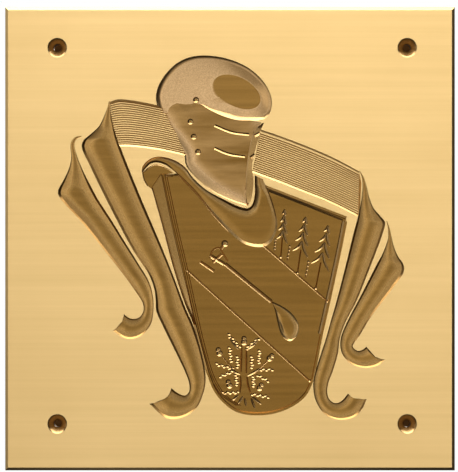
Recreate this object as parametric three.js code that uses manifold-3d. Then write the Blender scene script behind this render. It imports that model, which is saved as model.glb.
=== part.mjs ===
// A thick brass wall plate with a sunk relief, all cut into one piece: a tilted shield under a helm,
// a ribbed band behind the helm, and two folded ribbons hanging down each side of the shield.
// Millimetres, +Z up. The face looks along -Y. The origin is the middle of the back, which lies on the wall.
import * as THREE from "three";
import { mergeVertices } from "three/addons/utils/BufferGeometryUtils.js";
import Module from "manifold-3d";

const wasm = await Module();
wasm.setup();

// Plate
const PLATE_WIDTH = 180;
const PLATE_HEIGHT = 185.5;
const PLATE_THICKNESS = 8;
const EDGE_CHAMFER = 1.2;

// Four countersunk screw holes, a pattern slightly off the middle of the plate
const HOLE_SPACING_X = 140;
const HOLE_SPACING_Z = 150.5;
const HOLE_PATTERN_X = 0.9;
const HOLE_PATTERN_Z = 1.2;
const HOLE_DIAMETER = 3;
const HEAD_DIAMETER = 7.8;
const HOLE_SIDES = 20;

// Trough profiles: a sloping wall, then a cove that levels out at the floor.
// A trough is shallower where it narrows
const RIBBON = { wall: 1.1, wallDepth: 0.85, cove: 6.5, floor: 1.75, narrowing: 1 };
const COLLAR = { wall: 1.1, wallDepth: 1.45, cove: 4.6, floor: 2.05, narrowing: 0.5 };

// Bowls: a wall that falls by this share of its width, then a curve down to a flat floor
const WALL_FALL = 0.41;
const DOME_FLOOR = 1.7;
const VISOR_FLOOR = 1.5;
const VISOR_WALL = 0.9;
const DROP_FLOOR = 0.75;
const DROP_WALL = 1.3;

// Shield: a low step round a flat field, and a sloping strip along its left side
const FIELD_DEPTH = 1.3;
const RIM_DEPTH = 0.22;
const RIM_WIDTH = 0.75;
const STRIP_LEFT_DEPTH = 1.5;
const STRIP_RIGHT_DEPTH = 0.8;
const SCROLL_DEPTH = 1.2;
const NOSE_LEFT_DEPTH = 1.2;
const NOSE_RIGHT_DEPTH = 0.5;

// Ribbed band
const RIB_COUNT = 17;
const RIB_HEIGHT = 0.3;
const BAND_DEPTH = 0.95;
const BAND_WALL = 0.5;

// Cut lines and marks, below the floor that they are cut in
const DIVISION_LINE = { width: 0.8, depth: 0.55, tip: 1 };
const SLIT = { width: 1.2, depth: 0.38, tip: 1 };
const SLIT_FLOOR = 1.48;
const TRUNK = { width: 0.6, depth: 0.5, tip: 1 };
const LEAF = { width: 0.9, depth: 0.4, tip: 0.1 };
const STEM = { width: 1.7, depth: 0.28, tip: 1 };
const SIDE_LINE_CUT = { width: 0.4, depth: 0.32, tip: 1 };
const STAFF_LINE = { width: 1.3, depth: 0.4, tip: 1 };
const STAFF_OUTLINE_LINE = { width: 0.75, depth: 0.4, tip: 1 };
const STAFF_BALL_DEPTH = 0.65;
const RIVET_RADIUS = 1.25;
const RIVET_DEPTH = 0.58;
const RIVET_FLOOR = 1.4;
const ACORN_RADIUS = 1.3;
const ACORN_DEPTH = 0.8;
const DIMPLE_SHOULDER = 0.7;

// Cutters start this far above the face or the floor that they are cut in
const LIFT = 0.6;

// Steps along the curves
const RUNG_STEPS = 2;
const BAND_STEPS = 1;
const STRIP_STEPS = 2;
const RIM_STEPS = 2;
const FIELD_STEPS = 3;
const FIELD_TOP_STEPS = 2;
const GROOVE_STEPS = 2;
const BOWL_STEPS = 3;
const COVE_STEP = 0.5;
const HALF = 0.49;
const MARK_SIDES = 7;
const MERGE_DISTANCE = 1e-4;

// Look of the metal
const BRASS = 0xb08d4c;
const BRASS_ROUGHNESS = 0.35;
const BRASS_METALNESS = 1;

// Ribbons, rung by rung down their length: [outer edge x, z, inner edge x, z]
const LEFT_OUTER_RIBBON = [
  [-59.4, 41.2, -59.4, 40.8],
  [-62.0, 40.6, -61.4, 39.8],
  [-63.7, 38.2, -62.2, 37.6],
  [-63.5, 32.6, -61.2, 33.2],
  [-64.3, 28.5, -59.4, 28.6],
  [-66.4, 23.8, -57.4, 24.4],
  [-68.8, 19.0, -54.6, 19.0],
  [-68.2, 16.6, -53.2, 16.4],
  [-58.8, 6.0, -46.9, 6.6],
  [-51.6, -3.0, -42.4, -0.8],
  [-41.8, -15.5, -36.4, -10.4],
  [-36.9, -22.4, -32.6, -16.8],
  [-34.8, -26.0, -31.0, -22.0],
  [-34.8, -29.4, -30.6, -28.2],
  [-36.7, -31.7, -31.8, -34.4],
  [-39.4, -32.0, -36.0, -39.0],
  [-41.6, -30.9, -41.2, -40.0],
  [-42.4, -30.0, -46.9, -36.8],
];
const LEFT_INNER_RIBBON = [
  [-48.4, 55.0, -48.1, 55.0],
  [-49.1, 52.3, -48.0, 52.0],
  [-50.4, 48.9, -47.6, 48.4],
  [-52.4, 45.0, -46.7, 45.0],
  [-55.6, 42.0, -45.8, 42.4],
  [-58.6, 39.3, -44.8, 39.6],
  [-59.3, 36.8, -43.9, 36.9],
  [-55.7, 28.5, -40.8, 28.9],
  [-47.3, 11.4, -34.6, 13.8],
  [-39.0, -4.2, -28.6, -0.2],
  [-32.2, -14.8, -23.6, -12.5],
  [-30.2, -20.6, -21.0, -19.3],
  [-29.7, -25.0, -19.2, -24.2],
  [-29.5, -28.8, -17.3, -28.9],
  [-27.0, -34.6, -14.9, -34.2],
  [-21.7, -45.4, -11.5, -44.8],
  [-17.9, -53.4, -9.9, -53.2],
  [-16.3, -58.0, -9.8, -57.8],
  [-16.4, -61.2, -10.9, -62.4],
  [-17.9, -62.7, -13.4, -67.6],
  [-20.4, -62.0, -18.8, -71.4],
  [-22.3, -60.7, -25.2, -71.8],
  [-23.4, -59.7, -32.3, -66.0],
];
const RIGHT_INNER_RIBBON = [
  [51.9, 27.3, 51.6, 27.2],
  [53.4, 24.8, 52.6, 25.0],
  [54.7, 20.8, 53.0, 21.0],
  [55.8, 16.2, 52.6, 16.4],
  [57.5, 12.2, 51.9, 12.2],
  [60.2, 9.0, 51.0, 8.0],
  [62.0, 6.6, 50.2, 5.2],
  [61.1, 2.2, 49.0, 0.6],
  [56.5, -10.2, 46.2, -11.0],
  [50.5, -25.1, 42.3, -26.1],
  [46.1, -33.6, 40.2, -33.4],
  [43.9, -40.0, 38.3, -40.2],
  [43.2, -45.8, 36.5, -45.6],
  [41.0, -53.2, 34.7, -51.4],
  [39.3, -57.8, 33.4, -56.6],
  [38.9, -61.4, 33.4, -60.6],
  [39.6, -64.0, 34.4, -65.0],
  [41.4, -65.6, 37.6, -69.8],
  [43.4, -65.6, 43.4, -72.3],
  [45.4, -64.2, 49.8, -71.2],
  [46.5, -62.8, 53.0, -67.8],
  [47.2, -61.9, 54.7, -64.1],
];
const RIGHT_OUTER_RIBBON = [
  [62.9, 7.0, 62.6, 7.1],
  [64.0, 3.7, 63.2, 3.8],
  [64.8, 0.0, 63.2, 0.2],
  [65.6, -3.2, 62.3, -2.8],
  [67.2, -7.0, 60.9, -6.2],
  [69.4, -10.4, 59.4, -9.0],
  [69.5, -13.2, 57.8, -12.0],
  [65.6, -19.1, 55.0, -17.6],
  [60.3, -26.0, 51.5, -24.4],
  [55.8, -32.1, 48.2, -30.6],
  [51.9, -38.6, 45.6, -36.0],
  [49.6, -41.8, 44.3, -39.8],
  [49.1, -43.0, 44.2, -43.6],
  [50.0, -44.3, 45.4, -46.9],
  [51.5, -44.9, 48.6, -50.0],
  [53.0, -44.4, 53.8, -51.6],
  [54.0, -43.7, 59.0, -50.7],
  [54.5, -43.2, 62.0, -48.4],
];

// The cut end of each ribbon is hollowed in by this much, [x, z], at its middle
const LEFT_OUTER_NOTCH = [1.0, -0.4];
const LEFT_INNER_NOTCH = [1.8, -1.1];
const RIGHT_INNER_NOTCH = [-0.9, -0.9];
const RIGHT_OUTER_NOTCH = [-1.0, -0.9];
const NO_NOTCH = [0, 0];

// Collar under the helm, from its scroll at the left round to the hanging lap:
// [helm side x, z, shield side x, z]
const COLLAR_RUNGS = [
  [-35.3, 26.6, -34.9, 26.6],
  [-34.9, 29.0, -33.6, 28.3],
  [-32.6, 31.5, -31.8, 29.9],
  [-29.2, 32.8, -29.4, 30.5],
  [-25.1, 32.4, -26.0, 29.6],
  [-21.0, 30.8, -23.4, 27.8],
  [-17.8, 28.4, -20.9, 25.8],
  [-14.8, 24.4, -17.4, 22.4],
  [-9.8, 19.8, -11.6, 16.2],
  [-1.4, 15.2, -6.0, 8.9],
  [4.6, 12.6, -0.5, 2.9],
  [7.3, 12.3, 6.6, -2.4],
  [8.9, 13.7, 14.8, -2.7],
  [9.9, 18.0, 18.8, 4.2],
  [9.9, 22.0, 17.0, 14.8],
  [9.9, 25.4, 13.2, 23.8],
];

// Ribbed band behind the helm, from the helm out to the ribbons: [upper edge x, z, lower edge x, z]
const LEFT_BAND = [
  [-26.0, 52.8, -17.6, 33.2],
  [-34.1, 54.5, -27.2, 35.3],
  [-39.4, 55.4, -34.8, 36.4],
  [-44.6, 55.8, -40.4, 36.9],
  [-48.0, 54.8, -44.0, 36.9],
];
const RIGHT_BAND = [
  [12.2, 43.8, 8.9, 26.5],
  [22.0, 40.4, 19.8, 22.5],
  [31.6, 36.7, 29.4, 18.7],
  [41.9, 32.2, 39.6, 14.6],
  [51.6, 27.0, 51.0, 8.9],
];
const LEFT_BAND_END = [-1.3, 0];
const RIGHT_BAND_END = [1.5, 0];

// Helm: the dome above the brow and the visor below it meet in a crest along the brow.
// Round each bowl: [x, z, depth at which it starts, width of its wall]
const DOME_RIM = [
  [-27.9, 49.8, 0, 2],
  [-29.3, 54.0, 0, 2.4],
  [-29.6, 57.6, 0, 2.4],
  [-28.1, 62.2, 0, 2.4],
  [-24.8, 67.0, 0, 2.4],
  [-20.5, 70.7, 0, 2.2],
  [-15.7, 72.7, 0, 2],
  [-9.6, 73.3, 0, 1.8],
  [-1.0, 72.0, 0, 1.5],
  [7.6, 68.2, 0, 1.2],
  [13.6, 62.6, 0, 1.2],
  [16.4, 57.0, 0, 1.2],
  [16.7, 53.4, 0, 1.2],
  [15.9, 50.2, 0, 1.4],
  [13.9, 47.9, 0, 1.8],
];
const DOME_BROW = [
  [13.9, 47.9, 0, 1.8],
  [8.6, 46.9, 0.1, 3.2],
  [3.4, 47.1, 0.2, 3.2],
  [-1.8, 48.4, 0.4, 2.8],
  [-7.5, 50.9, 0.8, 1.9],
  [-12.4, 54.0, 1.45, 0.1],
  [-18.0, 52.5, 1.2, 0.1],
  [-23.2, 51.1, 0.95, 0.1],
  [-27.9, 49.8, 0, 2],
];
const DOME_FLAT = { x: 3.0, z: 58.8, long: 10.0, short: 5.8, tilt: -28 };
const VISOR_BROW = [
  [12.6, 46.4, 0.7, 0.3],
  [8.6, 47.3, 1.3, 0.2],
  [3.4, 47.5, 1.4, 0.2],
  [-1.8, 48.8, 1.4, 0.2],
  [-7.5, 51.3, 1.42, 0.2],
  [-12.6, 54.4, 1.4, 0.2],
  [-18.0, 57.4, 1, 0.2],
  [-24.0, 60.0, 0.45, 0.3],
  [-28.5, 61.4, 0, 0.9],
];
const VISOR_BACK = [
  [-28.5, 61.4],
  [-29.6, 57.6],
  [-29.3, 54.0],
  [-28.0, 50.0],
  [-26.2, 46.2],
  [-22.6, 41.0],
  [-19.6, 36.2],
  [-18.2, 33.4],
  [-17.8, 30.0],
  [-16.8, 28.0],
  [-13.8, 24.6],
  [-9.6, 20.9],
  [-5.3, 18.0],
  [1.2, 15.0],
  [6.7, 13.2],
];
const VISOR_NOSE = [
  [6.7, 13.2, 0.2, 0.3],
  [6.6, 20.0, 1.2, 0.3],
  [6.8, 26.2, 1.35, 0.3],
  [7.4, 31.9, 1.38, 0.3],
  [8.4, 38.0, 1.38, 0.3],
  [10.0, 43.0, 1.2, 0.3],
  [12.6, 46.4, 0.7, 0.3],
];
const VISOR_FLAT = { x: -3.5, z: 36.5, long: 9.0, short: 4.5, tilt: 104 };
// [left x, z, right x, z]
const NOSE_RUNGS = [
  [12.8, 46.2, 13.6, 46.4],
  [9.6, 43.0, 12.3, 43.3],
  [8.1, 39.0, 11.3, 39.6],
  [7.1, 33.6, 9.7, 33.8],
  [6.5, 27.9, 8.8, 27.9],
  [6.4, 24.0, 9.4, 24.2],
  [6.3, 19.6, 9.2, 19.6],
  [6.4, 15.0, 8.2, 14.9],
  [6.7, 13.4, 7.0, 13.3],
];
const RIVETS = [
  [-13.6, 55.6],
  [-15.8, 46.9],
  [-14.5, 40.9],
  [-12.8, 34.8],
];
const SLITS = [
  [[-6.2, 45.4], [0.6, 42.7], [7.4, 41.7]],
  [[-6.2, 36.3], [-0.6, 34.0], [5.8, 32.9]],
];

// Shield field and the strip at its left, [left x, z, right x, z]
const FIELD_CORNER_LEFT = [-27.8, 25.8];
const FIELD_CORNER_RIGHT = [46.4, 8.2];
// Along the collar's lower edge, just inside it
const FIELD_TOP = [
  [-20.4, 25.6],
  [-16.9, 22.6],
  [-11.0, 16.7],
  [-5.2, 9.6],
  [0.2, 3.8],
  [6.8, -1.4],
  [13.8, -1.7],
  [17.7, 4.3],
  [16.0, 14.4],
  [13.8, 20.8],
];
const FIELD_RIGHT = [[43.9, -4.4], [38.9, -27.4], [36.5, -38.0], [33.1, -55.8]];
const FIELD_FOOT = [[29.6, -62.6], [22.4, -67.6], [12.4, -69.9], [2.4, -68.4], [-5.0, -61.8], [-8.8, -53.4]];
const FIELD_LEFT = [[-13.9, -34.4], [-16.3, -25.2], [-19.9, -10.8], [-23.7, 5.6]];
const STRIP_RUNGS = [
  [-31.4, 20.4, -27.6, 25.8],
  [-27.2, 5.6, -23.4, 5.6],
  [-23.0, -10.4, -19.6, -10.8],
  [-18.4, -25.0, -16.0, -25.4],
  [-14.5, -34.4, -13.7, -34.6],
];
const SCROLL_INSIDE = [
  [-35.2, 26.4],
  [-33.2, 28.1],
  [-30.4, 29.9],
  [-27.8, 29.8],
  [-24.6, 28.0],
  [-22.4, 26.2],
  [-27.6, 25.6],
  [-31.4, 19.9],
  [-33.2, 21.2],
  [-34.5, 23.4],
];
const SIDE_LINE = [[-27.0, 25.4], [-22.8, 5.6], [-18.8, -11.4], [-13.4, -36.0], [-10.6, -47.0]];

// Division lines of the shield
const DIVISION_LINES = [
  [[13.2, -2.6], [26.2, -13.8], [39.0, -25.0]],
  [[-17.2, -12.6], [7.4, -34.8], [31.8, -56.8]],
];

// Three conifers in a row, growing to the right: top, foot and half the spread of the lowest boughs
const CONIFERS = [
  { top: [21.9, 11.8], foot: [20.3, -7.3], spread: 2.4 },
  { top: [30.3, 8.8], foot: [27.0, -13.6], spread: 3.4 },
  { top: [39.3, 5.4], foot: [34.3, -19.8], spread: 4.0 },
];
const BOUGH_TURN = -25;
const BOUGH_DEPTH = 0.65;
// Each tier of boughs, along the tree from its top: peak, tips, middle of the lower edge, and its size
const BOUGH_TIERS = [
  { peak: 0, tips: 0.13, low: 0.11, size: 0.28 },
  { peak: 0.1, tips: 0.3, low: 0.25, size: 0.58 },
  { peak: 0.22, tips: 0.48, low: 0.42, size: 0.83 },
  { peak: 0.36, tips: 0.67, low: 0.6, size: 1 },
];

// Staff with a cross-bar at one end and a drop-shaped foot
const STAFF_STEM = [[-2.0, -10.0], [7.6, -17.9], [16.6, -25.2]];
const STAFF_BAR = [[-11.9, -9.2], [-9.1, -11.1], [-6.4, -13.0]];
const STAFF_CROSS = [[-6.9, -9.4], [-5.1, -7.8], [-3.3, -6.1]];
const STAFF_OUTLINE = [[-8.0, -7.8], [-6.9, -4.6], [-4.4, -3.6], [-3.4, -4.9], [-0.9, -9.0]];
const STAFF_BALL = { x: -2.1, z: -1.9, radius: 1.4 };
const DROP_OUTLINE = [
  [16.2, -24.8],
  [21.2, -27.2],
  [25.2, -30.4],
  [27.5, -34.6],
  [26.6, -39.2],
  [23.8, -41.0],
  [20.8, -38.8],
  [18.9, -33.0],
  [17.8, -28.0],
];
const DROP_FLAT = { x: 23.2, z: -35.0, long: 2.6, short: 1.6, tilt: -60 };

// Uprooted oak: trunk, boughs, sprays of leaves, acorns and roots
const OAK_TRUNK = [
  [[4.7, -42.6], [4.5, -48.0], [4.4, -53.4]],
  [[4.2, -55.0], [4.2, -58.6], [3.8, -62.0]],
  [[6.5, -43.6], [6.5, -48.4], [6.5, -53.8]],
  [[6.8, -55.4], [7.2, -58.6], [8.2, -61.8]],
];
const OAK_TRUNK_LINE = { width: 0.9, depth: 0.65, tip: 0.4 };
const OAK_STEMS = [
  [[4.0, -54.0], [1.0, -52.4], [-4.0, -46.0]],
  [[6.8, -54.4], [11.6, -52.2], [15.6, -48.0]],
];
const OAK_LEAVES = [
  [[3.8, -43.4], [-0.6, -38.4]],
  [[6.5, -44.0], [11.4, -40.0]],
  [[-0.1, -43.6], [0.4, -49.1]],
  [[3.0, -47.2], [3.1, -51.4]],
  [[8.7, -47.2], [8.8, -51.6]],
  [[11.9, -44.8], [11.5, -49.6]],
  [[1.0, -52.0], [-5.4, -50.2]],
  [[0.8, -53.2], [-3.8, -55.1]],
  [[12.3, -52.4], [16.8, -52.3]],
  [[11.1, -54.6], [15.2, -56.9]],
  [[2.4, -54.6], [2.8, -58.5]],
  [[9.3, -55.2], [9.5, -59.0]],
  [[3.3, -61.5], [-2.9, -61.7]],
  [[8.8, -62.2], [15.2, -63.3]],
];
const LEAVES_IN_SPRAY = 4;
const LEAF_LENGTH = 1.7;
const LEAF_LEAN = 55;
const ACORNS = [
  [5.6, -41.4],
  [-4.2, -45.8],
  [15.8, -47.9],
  [-0.2, -58.7],
  [11.8, -59.7],
];
const OAK_ROOTS = [
  [[3.4, -62.6], [0.8, -64.8]],
  [[5.2, -63.1], [3.3, -66.0]],
  [[5.8, -63.8], [6.5, -67.0]],
  [[8.4, -63.8], [10.0, -67.9]],
  [[8.8, -63.1], [12.5, -66.3]],
];

// A point of the drawing, at a depth below the face
const place = (x, z, depth) => new THREE.Vector3(x, depth - PLATE_THICKNESS, z);

// Points of a smooth line through the points given, with what else they hold blended between them
function smooth(points, steps) {
  const knots = points.map(([x, z]) => new THREE.Vector3(x, 0, z));
  const curve = new THREE.CatmullRomCurve3(knots, false, "centripetal");
  return curve.getPoints(steps * (points.length - 1)).map((point, i) => {
    const [, , ...before] = points[Math.floor(i / steps)];
    const [, , ...after] = points[Math.ceil(i / steps)];
    const rest = before.map((value, k) => THREE.MathUtils.lerp(value, after[k], (i % steps) / steps));
    return [point.x, point.z, ...rest];
  });
}

// A closed solid from a geometry, with its faces turned outwards
function solidOf(geometry) {
  geometry.deleteAttribute("normal");
  geometry.deleteAttribute("uv");
  const merged = mergeVertices(geometry, MERGE_DISTANCE);
  const vertProperties = new Float32Array(merged.attributes.position.array);
  const corner = (vertex) => new THREE.Vector3().fromArray(vertProperties, 3 * vertex);
  const faces = [];
  let volume = 0;
  for (let i = 0; i < merged.index.count; i += 3) {
    const [a, b, c] = merged.index.array.slice(i, i + 3);
    if (a !== b && b !== c && c !== a) {
      faces.push(a, b, c);
      volume += corner(a).dot(corner(b).cross(corner(c)));
    }
  }
  if (volume < 0) {
    faces.reverse();
  }
  return new wasm.Manifold(new wasm.Mesh({ numProp: 3, vertProperties, triVerts: new Uint32Array(faces) }));
}

// Triangles that close a ring, zipped up from its first and last points to its middle
function closing(count) {
  const faces = [];
  let near = 0;
  let far = count - 1;
  while (far - near > 1) {
    faces.push([near, near + 1, far]);
    near += 1;
    if (far - near > 1) {
      faces.push([near, far - 1, far]);
      far -= 1;
    }
  }
  return faces;
}

// A solid skin over rings of equal length, closed at both ends
function loft(rings) {
  const count = rings[0].length;
  const index = [];
  for (let i = 0; i + 1 < rings.length; i++) {
    for (let j = 0; j < count; j++) {
      const here = i * count + j;
      const next = i * count + ((j + 1) % count);
      index.push(here, next, next + count, here, next + count, here + count);
    }
  }
  const last = (rings.length - 1) * count;
  for (const [a, b, c] of closing(count)) {
    index.push(a, c, b, last + a, last + b, last + c);
  }
  const geometry = new THREE.BufferGeometry().setFromPoints(rings.flat());
  geometry.setIndex(index);
  return solidOf(geometry);
}

// A point part of the way along a rung, at a depth below the face
function onRung(start, end, share, depth) {
  const x = THREE.MathUtils.lerp(start[0], end[0], share);
  const z = THREE.MathUtils.lerp(start[1], end[1], share);
  return place(x, z, depth);
}

// The points above a section's floor, clear of the face, in the order that closes its ring
const lidOver = (floor) => floor.map((point) => place(point.x, point.z, -LIFT)).reverse();

// Both edges of a ladder of rungs, as matching points
function edgesOf(rungs, steps) {
  const near = smooth(rungs.map(([x, z]) => [x, z]), steps);
  const far = smooth(rungs.map(([, , x, z]) => [x, z]), steps);
  return near.map((start, i) => [start, far[i]]);
}

// Depth of a trough this far in from its edge, where it is at its full width
function depthAt(inset, profile) {
  if (inset < profile.wall) {
    return (profile.wallDepth * inset) / profile.wall;
  }
  const along = Math.min(1, (inset - profile.wall) / (profile.cove - profile.wall));
  return profile.wallDepth + (profile.floor - profile.wallDepth) * Math.sin((along * Math.PI) / 2);
}

// A coved trough between the two edges of a ladder, its end hollowed in by the notch
function trough(rungs, profile, notch) {
  const edges = edgesOf(rungs, RUNG_STEPS);
  const columns = [0, profile.wall, profile.cove * COVE_STEP, profile.cove];
  const rings = edges.map(([start, end], i) => {
    const width = Math.hypot(end[0] - start[0], end[1] - start[1]);
    const reach = Math.min(1, (HALF * width) / profile.cove);
    const endness = Math.max(0, 1 - (edges.length - 1 - i) / RUNG_STEPS);
    const shallower = THREE.MathUtils.lerp(1, reach, profile.narrowing);
    const insets = columns.map((column) => column * reach);
    const shares = [...insets, ...insets.map((inset) => width - inset).reverse()];
    const floor = shares.map((inset) => {
      const share = inset / width;
      const depth = depthAt(Math.min(inset, width - inset) / reach, profile) * shallower;
      const bow = Math.sin(share * Math.PI) * endness;
      return onRung(start, end, share, depth).add(new THREE.Vector3(notch[0] * bow, 0, notch[1] * bow));
    });
    return [...floor, ...lidOver(floor)];
  });
  return loft(rings);
}

// A plain slope between the two edges of a ladder
function slope(rungs, startDepth, endDepth) {
  const rings = edgesOf(rungs, STRIP_STEPS).map(([start, end]) => {
    const floor = [onRung(start, end, 0, startDepth), onRung(start, end, 1, endDepth)];
    return [...floor, ...lidOver(floor)];
  });
  return loft(rings);
}

// A shallow trough with ribs along its length, its end bowed out
function ribbed(rungs, bowed) {
  const edges = edgesOf(rungs, BAND_STEPS);
  const rings = edges.map(([start, end], i) => {
    const wall = BAND_WALL / Math.hypot(end[0] - start[0], end[1] - start[1]);
    const floor = [onRung(start, end, 0, 0)];
    for (let j = 0; j <= 2 * RIB_COUNT; j++) {
      const share = THREE.MathUtils.lerp(wall, 1 - wall, j / (2 * RIB_COUNT));
      const bow = i === edges.length - 1 ? Math.sin(share * Math.PI) : 0;
      const point = onRung(start, end, share, j % 2 ? BAND_DEPTH - RIB_HEIGHT : BAND_DEPTH);
      floor.push(point.add(new THREE.Vector3(bowed[0] * bow, 0, bowed[1] * bow)));
    }
    floor.push(onRung(start, end, 1, 0));
    return [...floor, ...lidOver(floor)];
  });
  return loft(rings);
}

// A bowl in a floor at this level, from an outline over a sloping wall and a curve to a flat oval
function bowl(outline, oval, bottom, level) {
  const turn = THREE.MathUtils.degToRad(oval.tilt);
  const middle = new THREE.Vector2(oval.x, oval.z);
  const rays = outline.map(([x, z, start, wall]) => {
    const rim = new THREE.Vector2(x, z);
    const out = rim.clone().sub(middle).rotateAround(new THREE.Vector2(), -turn);
    const angle = Math.atan2(out.y / oval.short, out.x / oval.long);
    const foot = new THREE.Vector2(oval.long * Math.cos(angle), oval.short * Math.sin(angle));
    foot.rotateAround(new THREE.Vector2(), turn).add(middle);
    const length = rim.distanceTo(foot);
    const width = Math.min(wall, HALF * length);
    const wallDepth = Math.min(start + width * WALL_FALL, bottom);
    return { rim: rim.toArray(), foot: foot.toArray(), start, wallShare: width / length, wallDepth };
  });
  const atMiddle = (depth) => rays.map(() => place(oval.x, oval.z, depth));
  const rings = [
    atMiddle(level - LIFT),
    rays.map(({ rim }) => place(...rim, level - LIFT)),
    rays.map(({ rim, start }) => place(...rim, level + start)),
  ];
  for (let i = 0; i <= BOWL_STEPS; i++) {
    const share = i / BOWL_STEPS;
    const fall = Math.sin((share * Math.PI) / 2);
    const ring = rays.map(({ rim, foot, wallShare, wallDepth }) => {
      const along = THREE.MathUtils.lerp(wallShare, 1, share);
      return onRung(rim, foot, along, level + THREE.MathUtils.lerp(wallDepth, bottom, fall));
    });
    rings.push(ring);
  }
  return loft([...rings, atMiddle(level + bottom)]);
}

// A straight-walled pocket with a flat floor
function pocket(outline, depth) {
  const shape = new THREE.Shape(outline.map(([x, z]) => new THREE.Vector2(x, z)));
  const geometry = new THREE.ExtrudeGeometry(shape, { depth: depth + LIFT, bevelEnabled: false });
  geometry.rotateX(Math.PI / 2);
  geometry.translate(0, depth - PLATE_THICKNESS, 0);
  return solidOf(geometry);
}

// A V-shaped cut along a line, in a floor at this depth
function groove(points, line, floor) {
  const path = smooth(points, GROOVE_STEPS);
  const rings = path.map(([x, z], i) => {
    const [beforeX, beforeZ] = path[Math.max(0, i - 1)];
    const [afterX, afterZ] = path[Math.min(path.length - 1, i + 1)];
    const size = i === 0 || i === path.length - 1 ? line.tip : 1;
    const reach = ((line.width / 2) * size * (line.depth + LIFT)) / line.depth;
    const side = new THREE.Vector2(beforeZ - afterZ, afterX - beforeX).setLength(reach);
    return [
      place(x + side.x, z + side.y, floor - LIFT),
      place(x, z, floor + line.depth * size),
      place(x - side.x, z - side.y, floor - LIFT),
    ];
  });
  return loft(rings);
}

// A turned cutter, pushed straight in: [radius, depth] down its profile
function turned(x, z, profile, sides) {
  const points = profile.map(([radius, depth]) => new THREE.Vector2(radius, depth));
  const geometry = new THREE.LatheGeometry(points, sides);
  geometry.translate(x, -PLATE_THICKNESS, z);
  return solidOf(geometry);
}

// A pit in a floor at this depth, whose sides run straight down from an outline to one point
function spike(outline, point, depth, floor) {
  const level = (height) => outline.map(([x, z]) => place(x, z, height));
  const bottom = outline.map(() => place(...point, floor + depth));
  return loft([level(floor - LIFT), level(floor), bottom]);
}

// A round-bottomed dimple in a floor at this depth
function dimple(x, z, radius, depth, floor) {
  const profile = [
    [0, floor + depth],
    [radius * DIMPLE_SHOULDER, floor + depth * DIMPLE_SHOULDER],
    [radius, floor],
    [radius, -LIFT],
    [0, -LIFT],
  ];
  return turned(x, z, profile, MARK_SIDES);
}

// An outline moved outwards
function grown(outline, by) {
  return outline.map(([x, z], i) => {
    const [beforeX, beforeZ] = outline.at(i - 1);
    const [afterX, afterZ] = outline[(i + 1) % outline.length];
    const out = new THREE.Vector2(beforeZ - afterZ, afterX - beforeX).setLength(by);
    return [x + out.x, z + out.y];
  });
}

// Plate, with its front edges chamfered
const plateRing = (inset, y) => {
  const x = PLATE_WIDTH / 2 - inset;
  const z = PLATE_HEIGHT / 2 - inset;
  return [
    new THREE.Vector3(-x, y, -z),
    new THREE.Vector3(x, y, -z),
    new THREE.Vector3(x, y, z),
    new THREE.Vector3(-x, y, z),
  ];
};
const plate = loft([
  plateRing(0, 0),
  plateRing(0, EDGE_CHAMFER - PLATE_THICKNESS),
  plateRing(EDGE_CHAMFER, -PLATE_THICKNESS),
]);
const cuts = [];

// Screw holes
const headDepth = (HEAD_DIAMETER - HOLE_DIAMETER) / 2;
for (const side of [-1, 1]) {
  for (const end of [-1, 1]) {
    const x = HOLE_PATTERN_X + (side * HOLE_SPACING_X) / 2;
    const z = HOLE_PATTERN_Z + (end * HOLE_SPACING_Z) / 2;
    const profile = [
      [0, PLATE_THICKNESS + LIFT],
      [HOLE_DIAMETER / 2, PLATE_THICKNESS + LIFT],
      [HOLE_DIAMETER / 2, headDepth],
      [HEAD_DIAMETER / 2 + LIFT, -LIFT],
      [0, -LIFT],
    ];
    cuts.push(turned(x, z, profile, HOLE_SIDES));
  }
}

// Ribbons
cuts.push(trough(LEFT_OUTER_RIBBON, RIBBON, LEFT_OUTER_NOTCH));
cuts.push(trough(LEFT_INNER_RIBBON, RIBBON, LEFT_INNER_NOTCH));
cuts.push(trough(RIGHT_INNER_RIBBON, RIBBON, RIGHT_INNER_NOTCH));
cuts.push(trough(RIGHT_OUTER_RIBBON, RIBBON, RIGHT_OUTER_NOTCH));

// Band
cuts.push(ribbed(LEFT_BAND, LEFT_BAND_END));
cuts.push(ribbed(RIGHT_BAND, RIGHT_BAND_END));

// Shield
const field = [
  FIELD_CORNER_LEFT,
  ...smooth(FIELD_TOP, FIELD_TOP_STEPS),
  FIELD_CORNER_RIGHT,
  ...smooth([FIELD_CORNER_RIGHT, ...FIELD_RIGHT], FIELD_STEPS).slice(1),
  ...smooth([FIELD_RIGHT.at(-1), ...FIELD_FOOT], FIELD_STEPS).slice(1),
  ...FIELD_LEFT,
];
cuts.push(pocket(field, FIELD_DEPTH));
cuts.push(pocket(grown(field, RIM_WIDTH), RIM_DEPTH));
cuts.push(slope(STRIP_RUNGS, STRIP_LEFT_DEPTH, STRIP_RIGHT_DEPTH));
cuts.push(pocket(SCROLL_INSIDE, SCROLL_DEPTH));
cuts.push(groove(SIDE_LINE, SIDE_LINE_CUT, FIELD_DEPTH));
DIVISION_LINES.forEach((points) => cuts.push(groove(points, DIVISION_LINE, FIELD_DEPTH)));

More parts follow.
